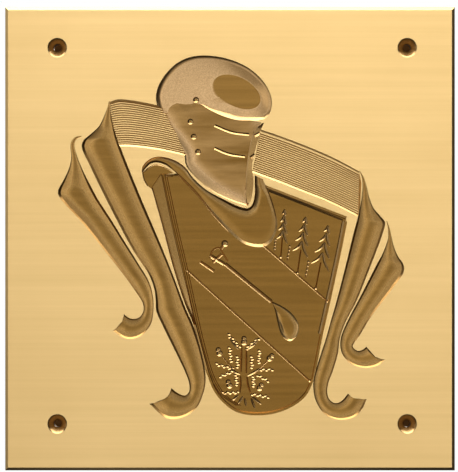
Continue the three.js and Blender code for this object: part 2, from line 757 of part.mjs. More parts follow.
// Helm and collar
const closedLine = (points) => smooth([...points, points[0]], RIM_STEPS).slice(1);
const join = (...lines) => lines.flatMap((points) => smooth(points, RIM_STEPS).slice(1));
const walled = (points, wall) => points.map(([x, z]) => [x, z, 0, wall]);
const visorOutline = join(VISOR_BROW, walled(VISOR_BACK, VISOR_WALL), VISOR_NOSE);
cuts.push(trough(COLLAR_RUNGS, COLLAR, NO_NOTCH));
cuts.push(bowl(join(DOME_RIM, DOME_BROW), DOME_FLAT, DOME_FLOOR, 0));
cuts.push(bowl(visorOutline, VISOR_FLAT, VISOR_FLOOR, 0));
cuts.push(slope(NOSE_RUNGS, NOSE_LEFT_DEPTH, NOSE_RIGHT_DEPTH));
RIVETS.forEach(([x, z]) => cuts.push(dimple(x, z, RIVET_RADIUS, RIVET_DEPTH, RIVET_FLOOR)));
SLITS.forEach((points) => cuts.push(groove(points, SLIT, SLIT_FLOOR)));

// Conifers
const boughTurn = THREE.MathUtils.degToRad(BOUGH_TURN);
for (const { top, foot, spread } of CONIFERS) {
  const start = new THREE.Vector2(...top);
  const down = new THREE.Vector2(...foot).sub(start);
  const across = new THREE.Vector2(Math.cos(boughTurn), Math.sin(boughTurn)).multiplyScalar(spread);
  const at = (along, aside) => {
    const point = start.clone().addScaledVector(down, along).addScaledVector(across, aside);
    return point.toArray();
  };
  for (const { peak, tips, low, size } of BOUGH_TIERS) {
    const outline = [at(peak, 0), at(tips, size), at(low, 0), at(tips, -size)];
    cuts.push(spike(outline, at((peak + low) / 2, 0), BOUGH_DEPTH, FIELD_DEPTH));
  }
  cuts.push(groove([at(BOUGH_TIERS.at(-1).low, 0), at(1, 0)], TRUNK, FIELD_DEPTH));
}

// Staff
cuts.push(groove(STAFF_STEM, STEM, FIELD_DEPTH));
cuts.push(groove(STAFF_BAR, STAFF_LINE, FIELD_DEPTH));
cuts.push(groove(STAFF_CROSS, STAFF_LINE, FIELD_DEPTH));
cuts.push(groove(STAFF_OUTLINE, STAFF_OUTLINE_LINE, FIELD_DEPTH));
cuts.push(dimple(STAFF_BALL.x, STAFF_BALL.z, STAFF_BALL.radius, STAFF_BALL_DEPTH, FIELD_DEPTH));
cuts.push(bowl(walled(closedLine(DROP_OUTLINE), DROP_WALL), DROP_FLAT, DROP_FLOOR, FIELD_DEPTH));

// Oak
OAK_TRUNK.forEach((points) => cuts.push(groove(points, OAK_TRUNK_LINE, FIELD_DEPTH)));
OAK_STEMS.forEach((points) => cuts.push(groove(points, TRUNK, FIELD_DEPTH)));
OAK_ROOTS.forEach((points) => cuts.push(groove(points, LEAF, FIELD_DEPTH)));
ACORNS.forEach(([x, z]) => cuts.push(dimple(x, z, ACORN_RADIUS, ACORN_DEPTH, FIELD_DEPTH)));
for (const [from, to] of OAK_LEAVES) {
  const start = new THREE.Vector2(...from);
  const along = new THREE.Vector2(...to).sub(start);
  for (let i = 0; i < LEAVES_IN_SPRAY; i++) {
    const root = start.clone().addScaledVector(along, i / (LEAVES_IN_SPRAY - 1));
    const lean = THREE.MathUtils.degToRad(i % 2 ? LEAF_LEAN : -LEAF_LEAN);
    const half = along.clone().rotateAround(new THREE.Vector2(), lean).setLength(LEAF_LENGTH / 2);
    cuts.push(groove([root.clone().sub(half).toArray(), root.add(half).toArray()], LEAF, FIELD_DEPTH));
  }
}

const carved = cuts.reduce((body, cut) => body.subtract(cut), plate);
const mesh = carved.getMesh();
const geometry = new THREE.BufferGeometry();
geometry.setAttribute("position", new THREE.Float32BufferAttribute(mesh.vertProperties, mesh.numProp));
geometry.setIndex([...mesh.triVerts]);
geometry.computeVertexNormals();

const brass = new THREE.MeshStandardMaterial({
  color: BRASS,
  roughness: BRASS_ROUGHNESS,
  metalness: BRASS_METALNESS,
});
const reliefPlate = new THREE.Mesh(geometry, brass);
reliefPlate.name = "relief_plate";
const plaque = new THREE.Group();
plaque.add(reliefPlate);

export default plaque;
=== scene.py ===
import math

import bmesh
import bpy
from mathutils import Matrix, Vector


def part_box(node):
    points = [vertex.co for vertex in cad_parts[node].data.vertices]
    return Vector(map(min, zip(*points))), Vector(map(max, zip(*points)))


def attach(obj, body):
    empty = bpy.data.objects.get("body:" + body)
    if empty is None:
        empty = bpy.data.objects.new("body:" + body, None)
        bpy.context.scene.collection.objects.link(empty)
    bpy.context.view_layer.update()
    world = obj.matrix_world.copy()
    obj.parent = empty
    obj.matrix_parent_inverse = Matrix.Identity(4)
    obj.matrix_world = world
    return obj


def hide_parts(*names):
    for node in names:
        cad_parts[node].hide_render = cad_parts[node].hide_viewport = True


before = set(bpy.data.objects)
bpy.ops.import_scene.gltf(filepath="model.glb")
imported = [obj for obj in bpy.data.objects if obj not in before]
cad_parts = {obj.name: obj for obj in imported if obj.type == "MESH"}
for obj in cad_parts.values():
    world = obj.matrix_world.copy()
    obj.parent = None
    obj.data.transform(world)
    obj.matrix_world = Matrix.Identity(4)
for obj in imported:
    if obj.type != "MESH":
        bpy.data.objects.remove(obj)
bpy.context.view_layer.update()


# Plate
# Sawn from thick brass sheet and milled square, with a chamfer round the front edge.
# Its face is brushed from side to side. The relief is cut into it with small milling tools.
MM = 0.001
# How far most cutters stand proud of what they cut
LIFT = 0.6
CHAMFER = 1.2
EDGE_ROUND = 0.12
EDGE_STEPS = 2
EDGE_PROFILE = 0.5

plate_low, plate_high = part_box("relief_plate")
plate_size = (plate_high - plate_low) / MM
cutters = []


def sunk(x, z, depth):
    """A point of the drawing, this far below the face."""
    return Vector((x, depth - plate_size.y, z))


def placed(name, data):
    """An object in the scene, at the origin."""
    made = bpy.data.objects.new(name, data)
    bpy.context.scene.collection.objects.link(made)
    return made


def facing_out(mesh):
    """A closed mesh with all its faces turned outwards."""
    shell = bmesh.new()
    shell.from_mesh(mesh)
    bmesh.ops.recalc_face_normals(shell, faces=shell.faces)
    shell.to_mesh(mesh)
    shell.free()
    return mesh


def loft(name, rings):
    """A closed skin over rings of equal length, with flat ends."""
    count = len(rings[0])
    corners = [point for ring in rings for point in ring]
    last = len(corners) - count
    faces = [tuple(range(count)), tuple(range(last, last + count))]
    for start in range(0, last, count):
        for i in range(count):
            after = (i + 1) % count
            faces.append((start + i, start + after, start + count + after, start + count + i))
    mesh = bpy.data.meshes.new(name)
    mesh.from_pydata(corners, [], faces)
    return placed(name, facing_out(mesh))


def plate_ring(inset, y):
    """The plate's four corners, moved in by the inset."""
    x = plate_size.x / 2 - inset
    z = plate_size.z / 2 - inset
    return [Vector((-x, y, -z)), Vector((x, y, -z)), Vector((x, y, z)), Vector((-x, y, z))]


plate = loft(
    "relief_plaque",
    [plate_ring(0, 0), plate_ring(0, CHAMFER - plate_size.y), plate_ring(CHAMFER, -plate_size.y)],
)
rounded = bmesh.new()
rounded.from_mesh(plate.data)
bmesh.ops.bevel(
    rounded,
    geom=rounded.edges[:],
    affect="EDGES",
    offset=EDGE_ROUND,
    segments=EDGE_STEPS,
    profile=EDGE_PROFILE,
)
rounded.to_mesh(plate.data)
rounded.free()


# Finishes
# The face, edges and back are brushed brass, and what the milling tools cut is a darker satin.
# Its colour is painted by tilt: level floors get painted shade, slopes painted light, and the helm's slopes
# the lightest. All of it is the same metal.
def node(tree, kind, links=None, **settings):
    """A node with its settings, and its inputs set to values or joined to sockets."""
    made = tree.nodes.new(kind)
    for key, value in settings.items():
        setattr(made, key, value)
    for key, value in (links or {}).items():
        if isinstance(value, bpy.types.NodeSocket):
            tree.links.new(value, made.inputs[key])
        else:
            made.inputs[key].default_value = value
    return made


def sums(tree, operation, *values):
    """The result of one sum in a tree."""
    return node(tree, "ShaderNodeMath", dict(enumerate(values)), operation=operation).outputs[0]


NOISE_LOW = 0.3
NOISE_HIGH = 0.7

# Noise drawn out by its scale along each axis of the piece, and spread between two values
drawn_noise = bpy.data.node_groups.new("drawn-out noise", "ShaderNodeTree")
for key, kind in (("Stretch", "Vector"), ("Detail", "Float"), ("Low", "Float"), ("High", "Float")):
    drawn_noise.interface.new_socket(key, in_out="INPUT", socket_type="NodeSocket" + kind)
drawn_noise.interface.new_socket("Value", in_out="OUTPUT", socket_type="NodeSocketFloat")
given = drawn_noise.nodes.new("NodeGroupInput").outputs
place = node(drawn_noise, "ShaderNodeTexCoord").outputs["Object"]
stretched = node(drawn_noise, "ShaderNodeMapping", {"Vector": place, "Scale": given["Stretch"]})
links = {"Vector": stretched.outputs["Vector"], "Scale": 1.0, "Detail": given["Detail"]}
noise = node(drawn_noise, "ShaderNodeTexNoise", links).outputs["Fac"]
links = {"Value": noise, "From Min": NOISE_LOW, "From Max": NOISE_HIGH}
links |= {"To Min": given["Low"], "To Max": given["High"]}
spread = node(drawn_noise, "ShaderNodeMapRange", links)
node(drawn_noise, "NodeGroupOutput", {"Value": spread.outputs["Result"]})

# How far a floor has turned from the face, from 0 at one tilt to 1 at another, each given as its cosine
tilt_mask = bpy.data.node_groups.new("tilt from the face", "ShaderNodeTree")
for key in ("Level", "Sloping"):
    tilt_mask.interface.new_socket(key, in_out="INPUT", socket_type="NodeSocketFloat")
tilt_mask.interface.new_socket("Mask", in_out="OUTPUT", socket_type="NodeSocketFloat")
given = tilt_mask.nodes.new("NodeGroupInput").outputs
surface = node(tilt_mask, "ShaderNodeNewGeometry").outputs["Normal"]
inward = node(tilt_mask, "ShaderNodeSeparateXYZ", {"Vector": surface}).outputs["Y"]
outward = sums(tilt_mask, "MULTIPLY", inward, -1.0)
links = {"Value": outward, "From Min": given["Level"], "From Max": given["Sloping"]}
turned = node(tilt_mask, "ShaderNodeMapRange", links).outputs["Result"]
node(tilt_mask, "NodeGroupOutput", {"Mask": turned})


def drawn_out(tree, stretch, detail, low=0.0, high=1.0):
    """The noise in one finish, between a low and a high value."""
    links = {"Stretch": stretch, "Detail": detail, "Low": low, "High": high}
    return node(tree, "ShaderNodeGroup", links, node_tree=drawn_noise).outputs["Value"]


# The sockets of a Mix node that hold its two colours, and the one that gives the mixed colour
MIX_DARK = 6
MIX_LIGHT = 7
MIXED_COLOUR = 2


def tinted(tree, value, dark, light):
    """A colour between two others, each a colour or a socket."""
    ends = [end if isinstance(end, bpy.types.NodeSocket) else (*end, 1) for end in (dark, light)]
    links = {"Factor": value, MIX_DARK: ends[0], MIX_LIGHT: ends[1]}
    return node(tree, "ShaderNodeMix", links, data_type="RGBA").outputs[MIXED_COLOUR]


def metal(name, **constants):
    """A metal whose plain values sit on its own shader."""
    made = bpy.data.materials.new(name)
    made.use_nodes = True
    shader = made.node_tree.nodes["Principled BSDF"]
    shader.inputs["Metallic"].default_value = 1
    for key, value in constants.items():
        shader.inputs[key.replace("_", " ").title()].default_value = value
    return made, made.node_tree, shader


# How each pattern is drawn out along x, y and z, and how finely it breaks up
BRUSH_LINES = (12, 12, 5000)
BRUSH_STREAKS = (5, 5, 420)
HANDLING = (14, 14, 22)
MILLED_GRAIN = (2400, 2400, 2400)
LINE_DETAIL = 4
STREAK_DETAIL = 3
GRAIN_DETAIL = 2
# The face's lines, streaks and handling marks count alike
FACE_LAYERS = 3.0
FACE_DARK = (0.64, 0.43, 0.17)
FACE_LIGHT = (0.76, 0.53, 0.23)
FACE_ROUGHNESS = (0.36, 0.46)
BRUSH_STRETCH = 0.75
BRUSH_TURN = 0.25
LEVEL_ROUGHNESS = 0.24
SLOPE_ROUGHNESS = 0.28
SCRATCH_DEPTH = 0.02 * MM
BRUSH_BUMP = 0.15
GRAIN_BUMP = 0.2
# Each milled finish: how its passes are drawn out, its level floors dark and light, darkened with painted
# shade, its slopes dark and light, lightened with painted light, its walls dark and light, a painted tone for
# the light they catch, and the tilts in degrees between which floors turn to slopes, and slopes to walls
MILLED = {
    "passes": (12, 12, 480),
    "level": ((0.225, 0.115, 0.023), (0.29, 0.151, 0.033)),
    "slope": ((0.29, 0.162, 0.045), (0.43, 0.26, 0.092)),
    "wall": ((0.35, 0.21, 0.08), (0.47, 0.3, 0.125)),
    "slope_tilts": (1, 13),
    "wall_tilts": (8, 26),
}
# The ribbons' painted light and shade: lighter slopes and darker walls than the plain satin
RIBBON_PAINTED_SHADING = {
    **MILLED,
    "level": ((0.23, 0.12, 0.026), (0.29, 0.155, 0.037)),
    "slope": ((0.35, 0.195, 0.054), (0.5, 0.298, 0.1)),
    "wall": ((0.3, 0.165, 0.05), (0.37, 0.207, 0.068)),
}
# The dome's painted light: its gentle slopes are painted the lightest, for the light they catch
DOME_PAINTED_LIGHT = {
    **MILLED,
    "level": ((0.27, 0.142, 0.033), (0.34, 0.184, 0.046)),
    "slope": ((0.5, 0.307, 0.136), (0.71, 0.463, 0.226)),
    "wall": ((0.38, 0.22, 0.085), (0.47, 0.29, 0.12)),
    "slope_tilts": (0.3, 1.4),
    "wall_tilts": (6, 18),
}
# The visor: random streaks on its level floors, and painted light on its slopes
STREAKED = {
    **MILLED,
    "passes": (30, 30, 210),
    "level": ((0.2, 0.1, 0.02), (0.44, 0.258, 0.09)),
    "slope": ((0.46, 0.282, 0.125), (0.66, 0.43, 0.21)),
    "slope_tilts": (3.5, 11),
}


def scratched(tree, shader, height, strength):
    """Fine scratches in a metal's surface."""
    links = {"Height": height, "Strength": strength, "Distance": SCRATCH_DEPTH}
    tree.links.new(node(tree, "ShaderNodeBump", links).outputs["Normal"], shader.inputs["Normal"])


brushed, tree, shader = metal("brushed brass", anisotropic=BRUSH_STRETCH, anisotropic_rotation=BRUSH_TURN)
lines = drawn_out(tree, BRUSH_LINES, LINE_DETAIL)
streaks = drawn_out(tree, BRUSH_STREAKS, STREAK_DETAIL)
patches = drawn_out(tree, HANDLING, STREAK_DETAIL)
worn = sums(tree, "ADD", sums(tree, "ADD", lines, streaks), patches)
shade = sums(tree, "DIVIDE", worn, FACE_LAYERS)
tree.links.new(tinted(tree, shade, FACE_DARK, FACE_LIGHT), shader.inputs["Base Color"])
tree.links.new(drawn_out(tree, BRUSH_LINES, LINE_DETAIL, *FACE_ROUGHNESS), shader.inputs["Roughness"])
scratched(tree, shader, lines, BRUSH_BUMP)


def tilted(tree, tilts):
    """A mask that grows from 0 to 1 between two tilts from the face, in degrees."""
    level, sloping = (math.cos(math.radians(tilt)) for tilt in tilts)
    links = {"Level": level, "Sloping": sloping}
    return node(tree, "ShaderNodeGroup", links, node_tree=tilt_mask).outputs["Mask"]


def milled_with_painted_light(name, finish):
    """A satin with painted light by tilt: level floors are smooth and darkened with painted shade, and slopes
    are painted light and sandy, and a little rougher.
    """
    made, tree, shader = metal(name)
    grain = drawn_out(tree, MILLED_GRAIN, GRAIN_DETAIL)
    passes = drawn_out(tree, finish["passes"], STREAK_DETAIL)
    # Painted light and shade: the colour goes from the dark level tone to the light slope tone and the wall
    # tone by tilt from the face
    sloping = tilted(tree, finish["slope_tilts"])
    level_tone_with_painted_shade = tinted(tree, passes, *finish["level"])
    slope_painted_light = tinted(tree, grain, *finish["slope"])
    floor_painted_by_tilt = tinted(tree, sloping, level_tone_with_painted_shade, slope_painted_light)
    wall_painted_tone = tinted(tree, grain, *finish["wall"])
    tone = tinted(tree, tilted(tree, finish["wall_tilts"]), floor_painted_by_tilt, wall_painted_tone)
    tree.links.new(tone, shader.inputs["Base Color"])
    links = {"Value": sloping, "To Min": LEVEL_ROUGHNESS, "To Max": SLOPE_ROUGHNESS}
    tree.links.new(node(tree, "ShaderNodeMapRange", links).outputs["Result"], shader.inputs["Roughness"])
    scratched(tree, shader, grain, GRAIN_BUMP)
    return made


# Each of these satins carries painted light and shade by tilt
milled = milled_with_painted_light("milled brass", MILLED)
ribbon_painted_shading = milled_with_painted_light("combed brass", RIBBON_PAINTED_SHADING)
dome_painted_light = milled_with_painted_light("stepped brass", DOME_PAINTED_LIGHT)
streaked = milled_with_painted_light("streaked brass", STREAKED)

plate.data.materials.append(brushed)


# Screw holes
# Drilled right through near the corners and countersunk for flat-headed wood screws, which aren't there.
# The pattern sits slightly off the middle of the plate.
HOLE_SPACING_X = 140
HOLE_SPACING_Z = 150.5
HOLE_PATTERN_X = 0.9
HOLE_PATTERN_Z = 1.2
HOLE_RADIUS = 1.5
HEAD_RADIUS = 3.9
HEAD_EDGE = 0.55
HEAD_EDGE_DEPTH = 0.33
HEAD_DEPTH = 2.5
HOLE_SIDES = 48


def turned_cutter(name, profile, sides):
    """A cutter turned about its own axis, [radius, depth] down its profile, at the middle of the face."""
    rings = []
    for radius, depth in profile:
        angles = [2 * math.pi * i / sides for i in range(sides)]
        rings.append([Vector((radius * math.cos(a), depth, radius * math.sin(a))) for a in angles])
    return loft(name, rings)


def input_named(tree, name):
    """The identifier of a tree's input."""
    items = tree.interface.items_tree
    return next(item.identifier for item in items if item.name == name and item.in_out == "INPUT")


def new_tree(name, inputs):
    """A geometry tree with a piece coming in, named inputs and a piece going out."""
    made = bpy.data.node_groups.new(name, "GeometryNodeTree")
    made.interface.new_socket("Geometry", in_out="INPUT", socket_type="NodeSocketGeometry")
    for key, kind in inputs.items():
        made.interface.new_socket(key, in_out="INPUT", socket_type="NodeSocket" + kind)
    made.interface.new_socket("Geometry", in_out="OUTPUT", socket_type="NodeSocketGeometry")
    return made, made.nodes.new("NodeGroupInput").outputs


def own_value(tree, name):
    """A value that each point carries."""
    carried = node(tree, "GeometryNodeInputNamedAttribute", {"Name": name}, data_type="FLOAT")
    return carried.outputs["Attribute"]


def united(tree, mesh):
    """Shapes that overlap, joined into one skin."""
    links = {"Mesh 2": mesh, "Self Intersection": True}
    return node(tree, "GeometryNodeMeshBoolean", links, operation="UNION", solver="EXACT").outputs["Mesh"]


def finished(tree, geometry, material):
    """Ends a tree: real faces, in the metal's own finish."""
    real = node(tree, "GeometryNodeRealizeInstances", {"Geometry": geometry})
    links = {"Geometry": real.outputs["Geometry"], "Material": material}
    worn = node(tree, "GeometryNodeSetMaterial", links)
    node(tree, "NodeGroupOutput", {"Geometry": worn.outputs["Geometry"]})


def made_plain(dressed):
    """The plain mesh that an object's modifiers make."""
    depsgraph = bpy.context.evaluated_depsgraph_get()
    return bpy.data.meshes.new_from_object(dressed.evaluated_get(depsgraph), depsgraph=depsgraph)


def cut_by(tree, base, **values):
    """Runs a tree on a base mesh and keeps the plain mesh that it makes as a cutter."""
    holder = placed(tree.name, base)
    modifier = holder.modifiers.new(tree.name, "NODES")
    modifier.node_group = tree
    for key, value in {"material": milled, **values}.items():
        modifier[input_named(tree, key.replace("_", " ").capitalize())] = value
    mesh = made_plain(holder)
    bpy.data.objects.remove(holder)
    cutters.append(placed(tree.name, facing_out(mesh)))


def cut(made, material=milled):
    """Keeps a cutter made by hand, with the finish that it leaves."""
    made.data.materials.append(material)
    cutters.append(made)


# One mark repeated at points, each turned about the line of sight and sized by its own values
marks_tree, given = new_tree("repeated mark", {"Mark": "Object", "Material": "Material"})
mark_shape = node(marks_tree, "GeometryNodeObjectInfo", {"Object": given["Mark"]})
turn_about_y = node(marks_tree, "ShaderNodeCombineXYZ", {"Y": own_value(marks_tree, "turn")})
mark_size = own_value(marks_tree, "size")
stretch = node(marks_tree, "ShaderNodeCombineXYZ", {axis: mark_size for axis in "XYZ"})
repeated = node(
    marks_tree,
    "GeometryNodeInstanceOnPoints",
    {
        "Points": given["Geometry"],
        "Instance": mark_shape.outputs["Geometry"],
        "Rotation": turn_about_y.outputs["Vector"],
        "Scale": stretch.outputs["Vector"],
    },
)
apart = node(marks_tree, "GeometryNodeRealizeInstances", {"Geometry": repeated.outputs["Instances"]})
finished(marks_tree, united(marks_tree, apart.outputs["Geometry"]), given["Material"])


def cut_marks(mark, places):
    """Cuts one mark at each place, [x, z, depth, turn in degrees, size]."""
    base = bpy.data.meshes.new("places")
    base.from_pydata([sunk(x, z, depth) for x, z, depth, _, _ in places], [], [])
    turns = base.attributes.new("turn", "FLOAT", "POINT")
    sizes = base.attributes.new("size", "FLOAT", "POINT")
    turns.data.foreach_set("value", [math.radians(turn) for *_, turn, _ in places])
    sizes.data.foreach_set("value", [size for *_, size in places])
    cut_by(marks_tree, base, mark=mark)
    bpy.data.objects.remove(mark)


hole = turned_cutter(
    "countersunk hole",
    [
        (HEAD_RADIUS, -LIFT),
        (HEAD_RADIUS, 0),
        (HEAD_RADIUS - HEAD_EDGE, HEAD_EDGE_DEPTH),
        (HOLE_RADIUS, HEAD_DEPTH),
        (HOLE_RADIUS, plate_size.y + LIFT),
    ],
    HOLE_SIDES,
)
corners = []
for side in (-1, 1):
    for end in (-1, 1):
        x = HOLE_PATTERN_X + side * HOLE_SPACING_X / 2
        z = HOLE_PATTERN_Z + end * HOLE_SPACING_Z / 2
        corners.append((x, z, 0, 0, 1))
cut_marks(hole, corners)


# Ribbons
# Four ribbons of cloth hang beside the shield. Each is a coved trough that narrows, folds and curls up.
# A sloping wall drops from the face, and a wide cove runs from it down to the middle.
RIBBON = {"wall_width": 1.1, "wall_depth": 0.85, "cove_width": 6.5, "floor_depth": 1.75, "narrowing": 1.0}
RUNG_STEPS = 8
LINE_STEPS = 8
TROUGH_COLUMNS = 26
# The most of a width that one side may take
HALF = 0.49
# The least length that is divided by
TINY = 0.0001
# A bow follows share * (1 - share), which this brings to 1 in the middle
BOW_PEAK = 4.0
# The sockets of a Mix node that hold its two points, and the one that gives the mixed point
MIX_NEAR = 4
MIX_FAR = 5
MIXED_POINT = 1

# Rung by rung down each ribbon: outer edge x, z, then inner edge x, z
LEFT_OUTER_RIBBON = [
    (-59.4, 41.2, -59.4, 40.8),
    (-62.0, 40.6, -61.4, 39.8),
    (-63.7, 38.2, -62.2, 37.6),
    (-63.5, 32.6, -61.2, 33.2),
    (-64.3, 28.5, -59.4, 28.6),
    (-66.4, 23.8, -57.4, 24.4),
    (-68.8, 19.0, -54.6, 19.0),
    (-68.2, 16.6, -53.2, 16.4),
    (-58.8, 6.0, -46.9, 6.6),
    (-51.6, -3.0, -42.4, -0.8),
    (-41.8, -15.5, -36.4, -10.4),
    (-36.9, -22.4, -32.6, -16.8),
    (-34.8, -26.0, -31.0, -22.0),
    (-34.8, -29.4, -30.6, -28.2),
    (-36.7, -31.7, -31.8, -34.4),
    (-39.4, -32.0, -36.0, -39.0),
    (-41.6, -30.9, -41.2, -40.0),
    (-42.4, -30.0, -46.9, -36.8),
]
LEFT_INNER_RIBBON = [
    (-48.4, 55.0, -48.1, 55.0),
    (-49.1, 52.3, -48.0, 52.0),
    (-50.4, 48.9, -47.6, 48.4),
    (-52.4, 45.0, -46.7, 45.0),
    (-55.6, 42.0, -45.8, 42.4),
    (-58.6, 39.3, -44.8, 39.6),
    (-59.3, 36.8, -43.9, 36.9),
    (-55.7, 28.5, -40.8, 28.9),
    (-47.3, 11.4, -34.6, 13.8),
    (-39.0, -4.2, -28.6, -0.2),
    (-32.2, -14.8, -23.6, -12.5),
    (-30.2, -20.6, -21.0, -19.3),
    (-29.7, -25.0, -19.2, -24.2),
    (-29.5, -28.8, -17.3, -28.9),
    (-27.0, -34.6, -14.9, -34.2),
    (-21.7, -45.4, -11.5, -44.8),
    (-17.9, -53.4, -9.9, -53.2),
    (-16.3, -58.0, -9.8, -57.8),
    (-16.4, -61.2, -10.9, -62.4),
    (-17.9, -62.7, -13.4, -67.6),
    (-20.4, -62.0, -18.8, -71.4),
    (-22.3, -60.7, -25.2, -71.8),
    (-23.4, -59.7, -32.3, -66.0),
]
RIGHT_INNER_RIBBON = [
    (51.9, 27.3, 51.6, 27.2),
    (53.4, 24.8, 52.6, 25.0),
    (54.7, 20.8, 53.0, 21.0),
    (55.8, 16.2, 52.6, 16.4),
    (57.5, 12.2, 51.9, 12.2),
    (60.2, 9.0, 51.0, 8.0),
    (62.0, 6.6, 50.2, 5.2),
    (61.1, 2.2, 49.0, 0.6),
    (56.5, -10.2, 46.2, -11.0),
    (50.5, -25.1, 42.3, -26.1),
    (46.1, -33.6, 40.2, -33.4),
    (43.9, -40.0, 38.3, -40.2),
    (43.2, -45.8, 36.5, -45.6),
    (41.0, -53.2, 34.7, -51.4),
    (39.3, -57.8, 33.4, -56.6),
    (38.9, -61.4, 33.4, -60.6),
    (39.6, -64.0, 34.4, -65.0),
    (41.4, -65.6, 37.6, -69.8),
    (43.4, -65.6, 43.4, -72.3),
    (45.4, -64.2, 49.8, -71.2),
    (46.5, -62.8, 53.0, -67.8),
    (47.2, -61.9, 54.7, -64.1),
]
RIGHT_OUTER_RIBBON = [
    (62.9, 7.0, 62.6, 7.1),
    (64.0, 3.7, 63.2, 3.8),
    (64.8, 0.0, 63.2, 0.2),
    (65.6, -3.2, 62.3, -2.8),
    (67.2, -7.0, 60.9, -6.2),
    (69.4, -10.4, 59.4, -9.0),
    (69.5, -13.2, 57.8, -12.0),
    (65.6, -19.1, 55.0, -17.6),
    (60.3, -26.0, 51.5, -24.4),
    (55.8, -32.1, 48.2, -30.6),
    (51.9, -38.6, 45.6, -36.0),
    (49.6, -41.8, 44.3, -39.8),
    (49.1, -43.0, 44.2, -43.6),
    (50.0, -44.3, 45.4, -46.9),
    (51.5, -44.9, 48.6, -50.0),
    (53.0, -44.4, 53.8, -51.6),
    (54.0, -43.7, 59.0, -50.7),
    (54.5, -43.2, 62.0, -48.4),
]

# The cut end of each ribbon is hollowed in by this much, x and z, at its middle
LEFT_OUTER_NOTCH = (1.0, -0.4)
LEFT_INNER_NOTCH = (1.8, -1.1)
RIGHT_INNER_NOTCH = (-0.9, -0.9)
RIGHT_OUTER_NOTCH = (-1.0, -0.9)


def smooth(points, steps):
    """Points of a smooth line through the points given, with even steps between each two."""
    knots = [Vector(point) for point in points]
    knots.insert(0, 2 * knots[0] - knots[1])
    knots.append(2 * knots[-1] - knots[-2])
    line = []
    for before, start, end, after in zip(knots, knots[1:], knots[2:], knots[3:]):
        gap_in, gap, gap_out = (
            math.sqrt(max((b - a).length, TINY)) for a, b in ((before, start), (start, end), (end, after))
        )
        leave = (start - before) / gap_in - (end - before) / (gap_in + gap) + (end - start) / gap
        arrive = (end - start) / gap - (after - start) / (gap + gap_out) + (after - end) / gap_out
        leave *= gap
        arrive *= gap
        for i in range(steps):
            t = i / steps
            cubic = 2 * start - 2 * end + leave + arrive
            square = -3 * start + 3 * end - 2 * leave - arrive
            line.append(start + leave * t + square * t**2 + cubic * t**3)
    line.append(knots[-2])
    return line


# A trough between two edges: the points of one edge come first in the base mesh, and then those of the other
trough_tree, given = new_tree(
    "trough between two edges",
    {
        "Columns": "Int",
        "Wall width": "Float",
        "Wall depth": "Float",
        "Cove width": "Float",
        "Floor depth": "Float",
        "Far depth": "Float",
        "Narrowing": "Float",
        "End bow": "Vector",
        "Bowed rows": "Float",
        "Face": "Float",
        "Lift": "Float",
        "Material": "Material",
    },
)


def trough_sum(operation):
    """One kind of sum in the trough's tree."""
    return lambda *values: sums(trough_tree, operation, *values)


plus = trough_sum("ADD")
minus = trough_sum("SUBTRACT")
times = trough_sum("MULTIPLY")
over = trough_sum("DIVIDE")
least = trough_sum("MINIMUM")
most = trough_sum("MAXIMUM")
above = trough_sum("GREATER_THAN")

ladder = node(trough_tree, "GeometryNodeAttributeDomainSize", {"Geometry": given["Geometry"]})
rows = over(ladder.outputs["Point Count"], 2.0)
ring = times(given["Columns"], 2.0)
links = {"Vertices": ring, "Side Segments": minus(rows, 1.0)}
skin = node(trough_tree, "GeometryNodeMeshCylinder", links, fill_type="NGON")
index = node(trough_tree, "GeometryNodeInputIndex").outputs["Index"]
row = trough_sum("FLOOR")(over(index, ring))
around = minus(index, times(row, ring))
column = least(around, minus(minus(ring, 1.0), around))
is_lid = above(around, minus(given["Columns"], 0.5))
from_far = minus(minus(given["Columns"], 1.0), column)
from_edge = least(column, from_far)
is_far = above(column, from_far)
place = node(trough_tree, "GeometryNodeInputPosition").outputs["Position"]


def edge_point(position):
    """Where one edge of the trough runs at this row."""
    links = {"Geometry": given["Geometry"], "Value": place, "Index": position}
    return node(trough_tree, "GeometryNodeSampleIndex", links, data_type="FLOAT_VECTOR").outputs["Value"]


near_edge = edge_point(row)
far_edge = edge_point(plus(row, rows))
span = node(trough_tree, "ShaderNodeVectorMath", {0: near_edge, 1: far_edge}, operation="DISTANCE")
width = most(span.outputs["Value"], TINY)
reach = least(1.0, over(times(width, HALF), given["Cove width"]))
cove_only = minus(given["Cove width"], given["Wall width"])
cove_columns = minus(over(given["Columns"], 2.0), 2.0)
wall_share = least(from_edge, 1.0)
cove_share = over(minus(from_edge, wall_share), cove_columns)
into_wall = times(given["Wall width"], wall_share)
into_cove = times(cove_only, cove_share)
inset = times(plus(into_wall, into_cove), reach)
near_share = over(inset, width)
flipped = minus(1.0, times(near_share, 2.0))
share = plus(near_share, times(is_far, flipped))
wall_drop = times(given["Wall depth"], wall_share)
cove_fall = trough_sum("SINE")(times(cove_share, math.pi / 2))
cove_drop = times(minus(given["Floor depth"], given["Wall depth"]), cove_fall)
fall = over(plus(wall_drop, cove_drop), given["Floor depth"])
shallower = times(given["Narrowing"], minus(1.0, reach))
middle = times(given["Floor depth"], minus(1.0, shallower))
start = times(given["Far depth"], share)
below = most(minus(middle, start), 0.0)
floor_depth = plus(start, times(below, fall))
rows_left = minus(minus(rows, 1.0), row)
endness = most(minus(1.0, over(rows_left, given["Bowed rows"])), 0.0)
hump = times(times(share, minus(1.0, share)), BOW_PEAK)
links = {0: given["End bow"], "Scale": times(hump, endness)}
bow = node(trough_tree, "ShaderNodeVectorMath", links, operation="SCALE").outputs["Vector"]
links = {"Factor": share, MIX_NEAR: near_edge, MIX_FAR: far_edge}
across = node(trough_tree, "ShaderNodeMix", links, data_type="VECTOR").outputs[MIXED_POINT]
bowed = node(trough_tree, "ShaderNodeVectorMath", {0: across, 1: bow}, operation="ADD").outputs["Vector"]
level = node(trough_tree, "ShaderNodeSeparateXYZ", {"Vector": bowed}).outputs
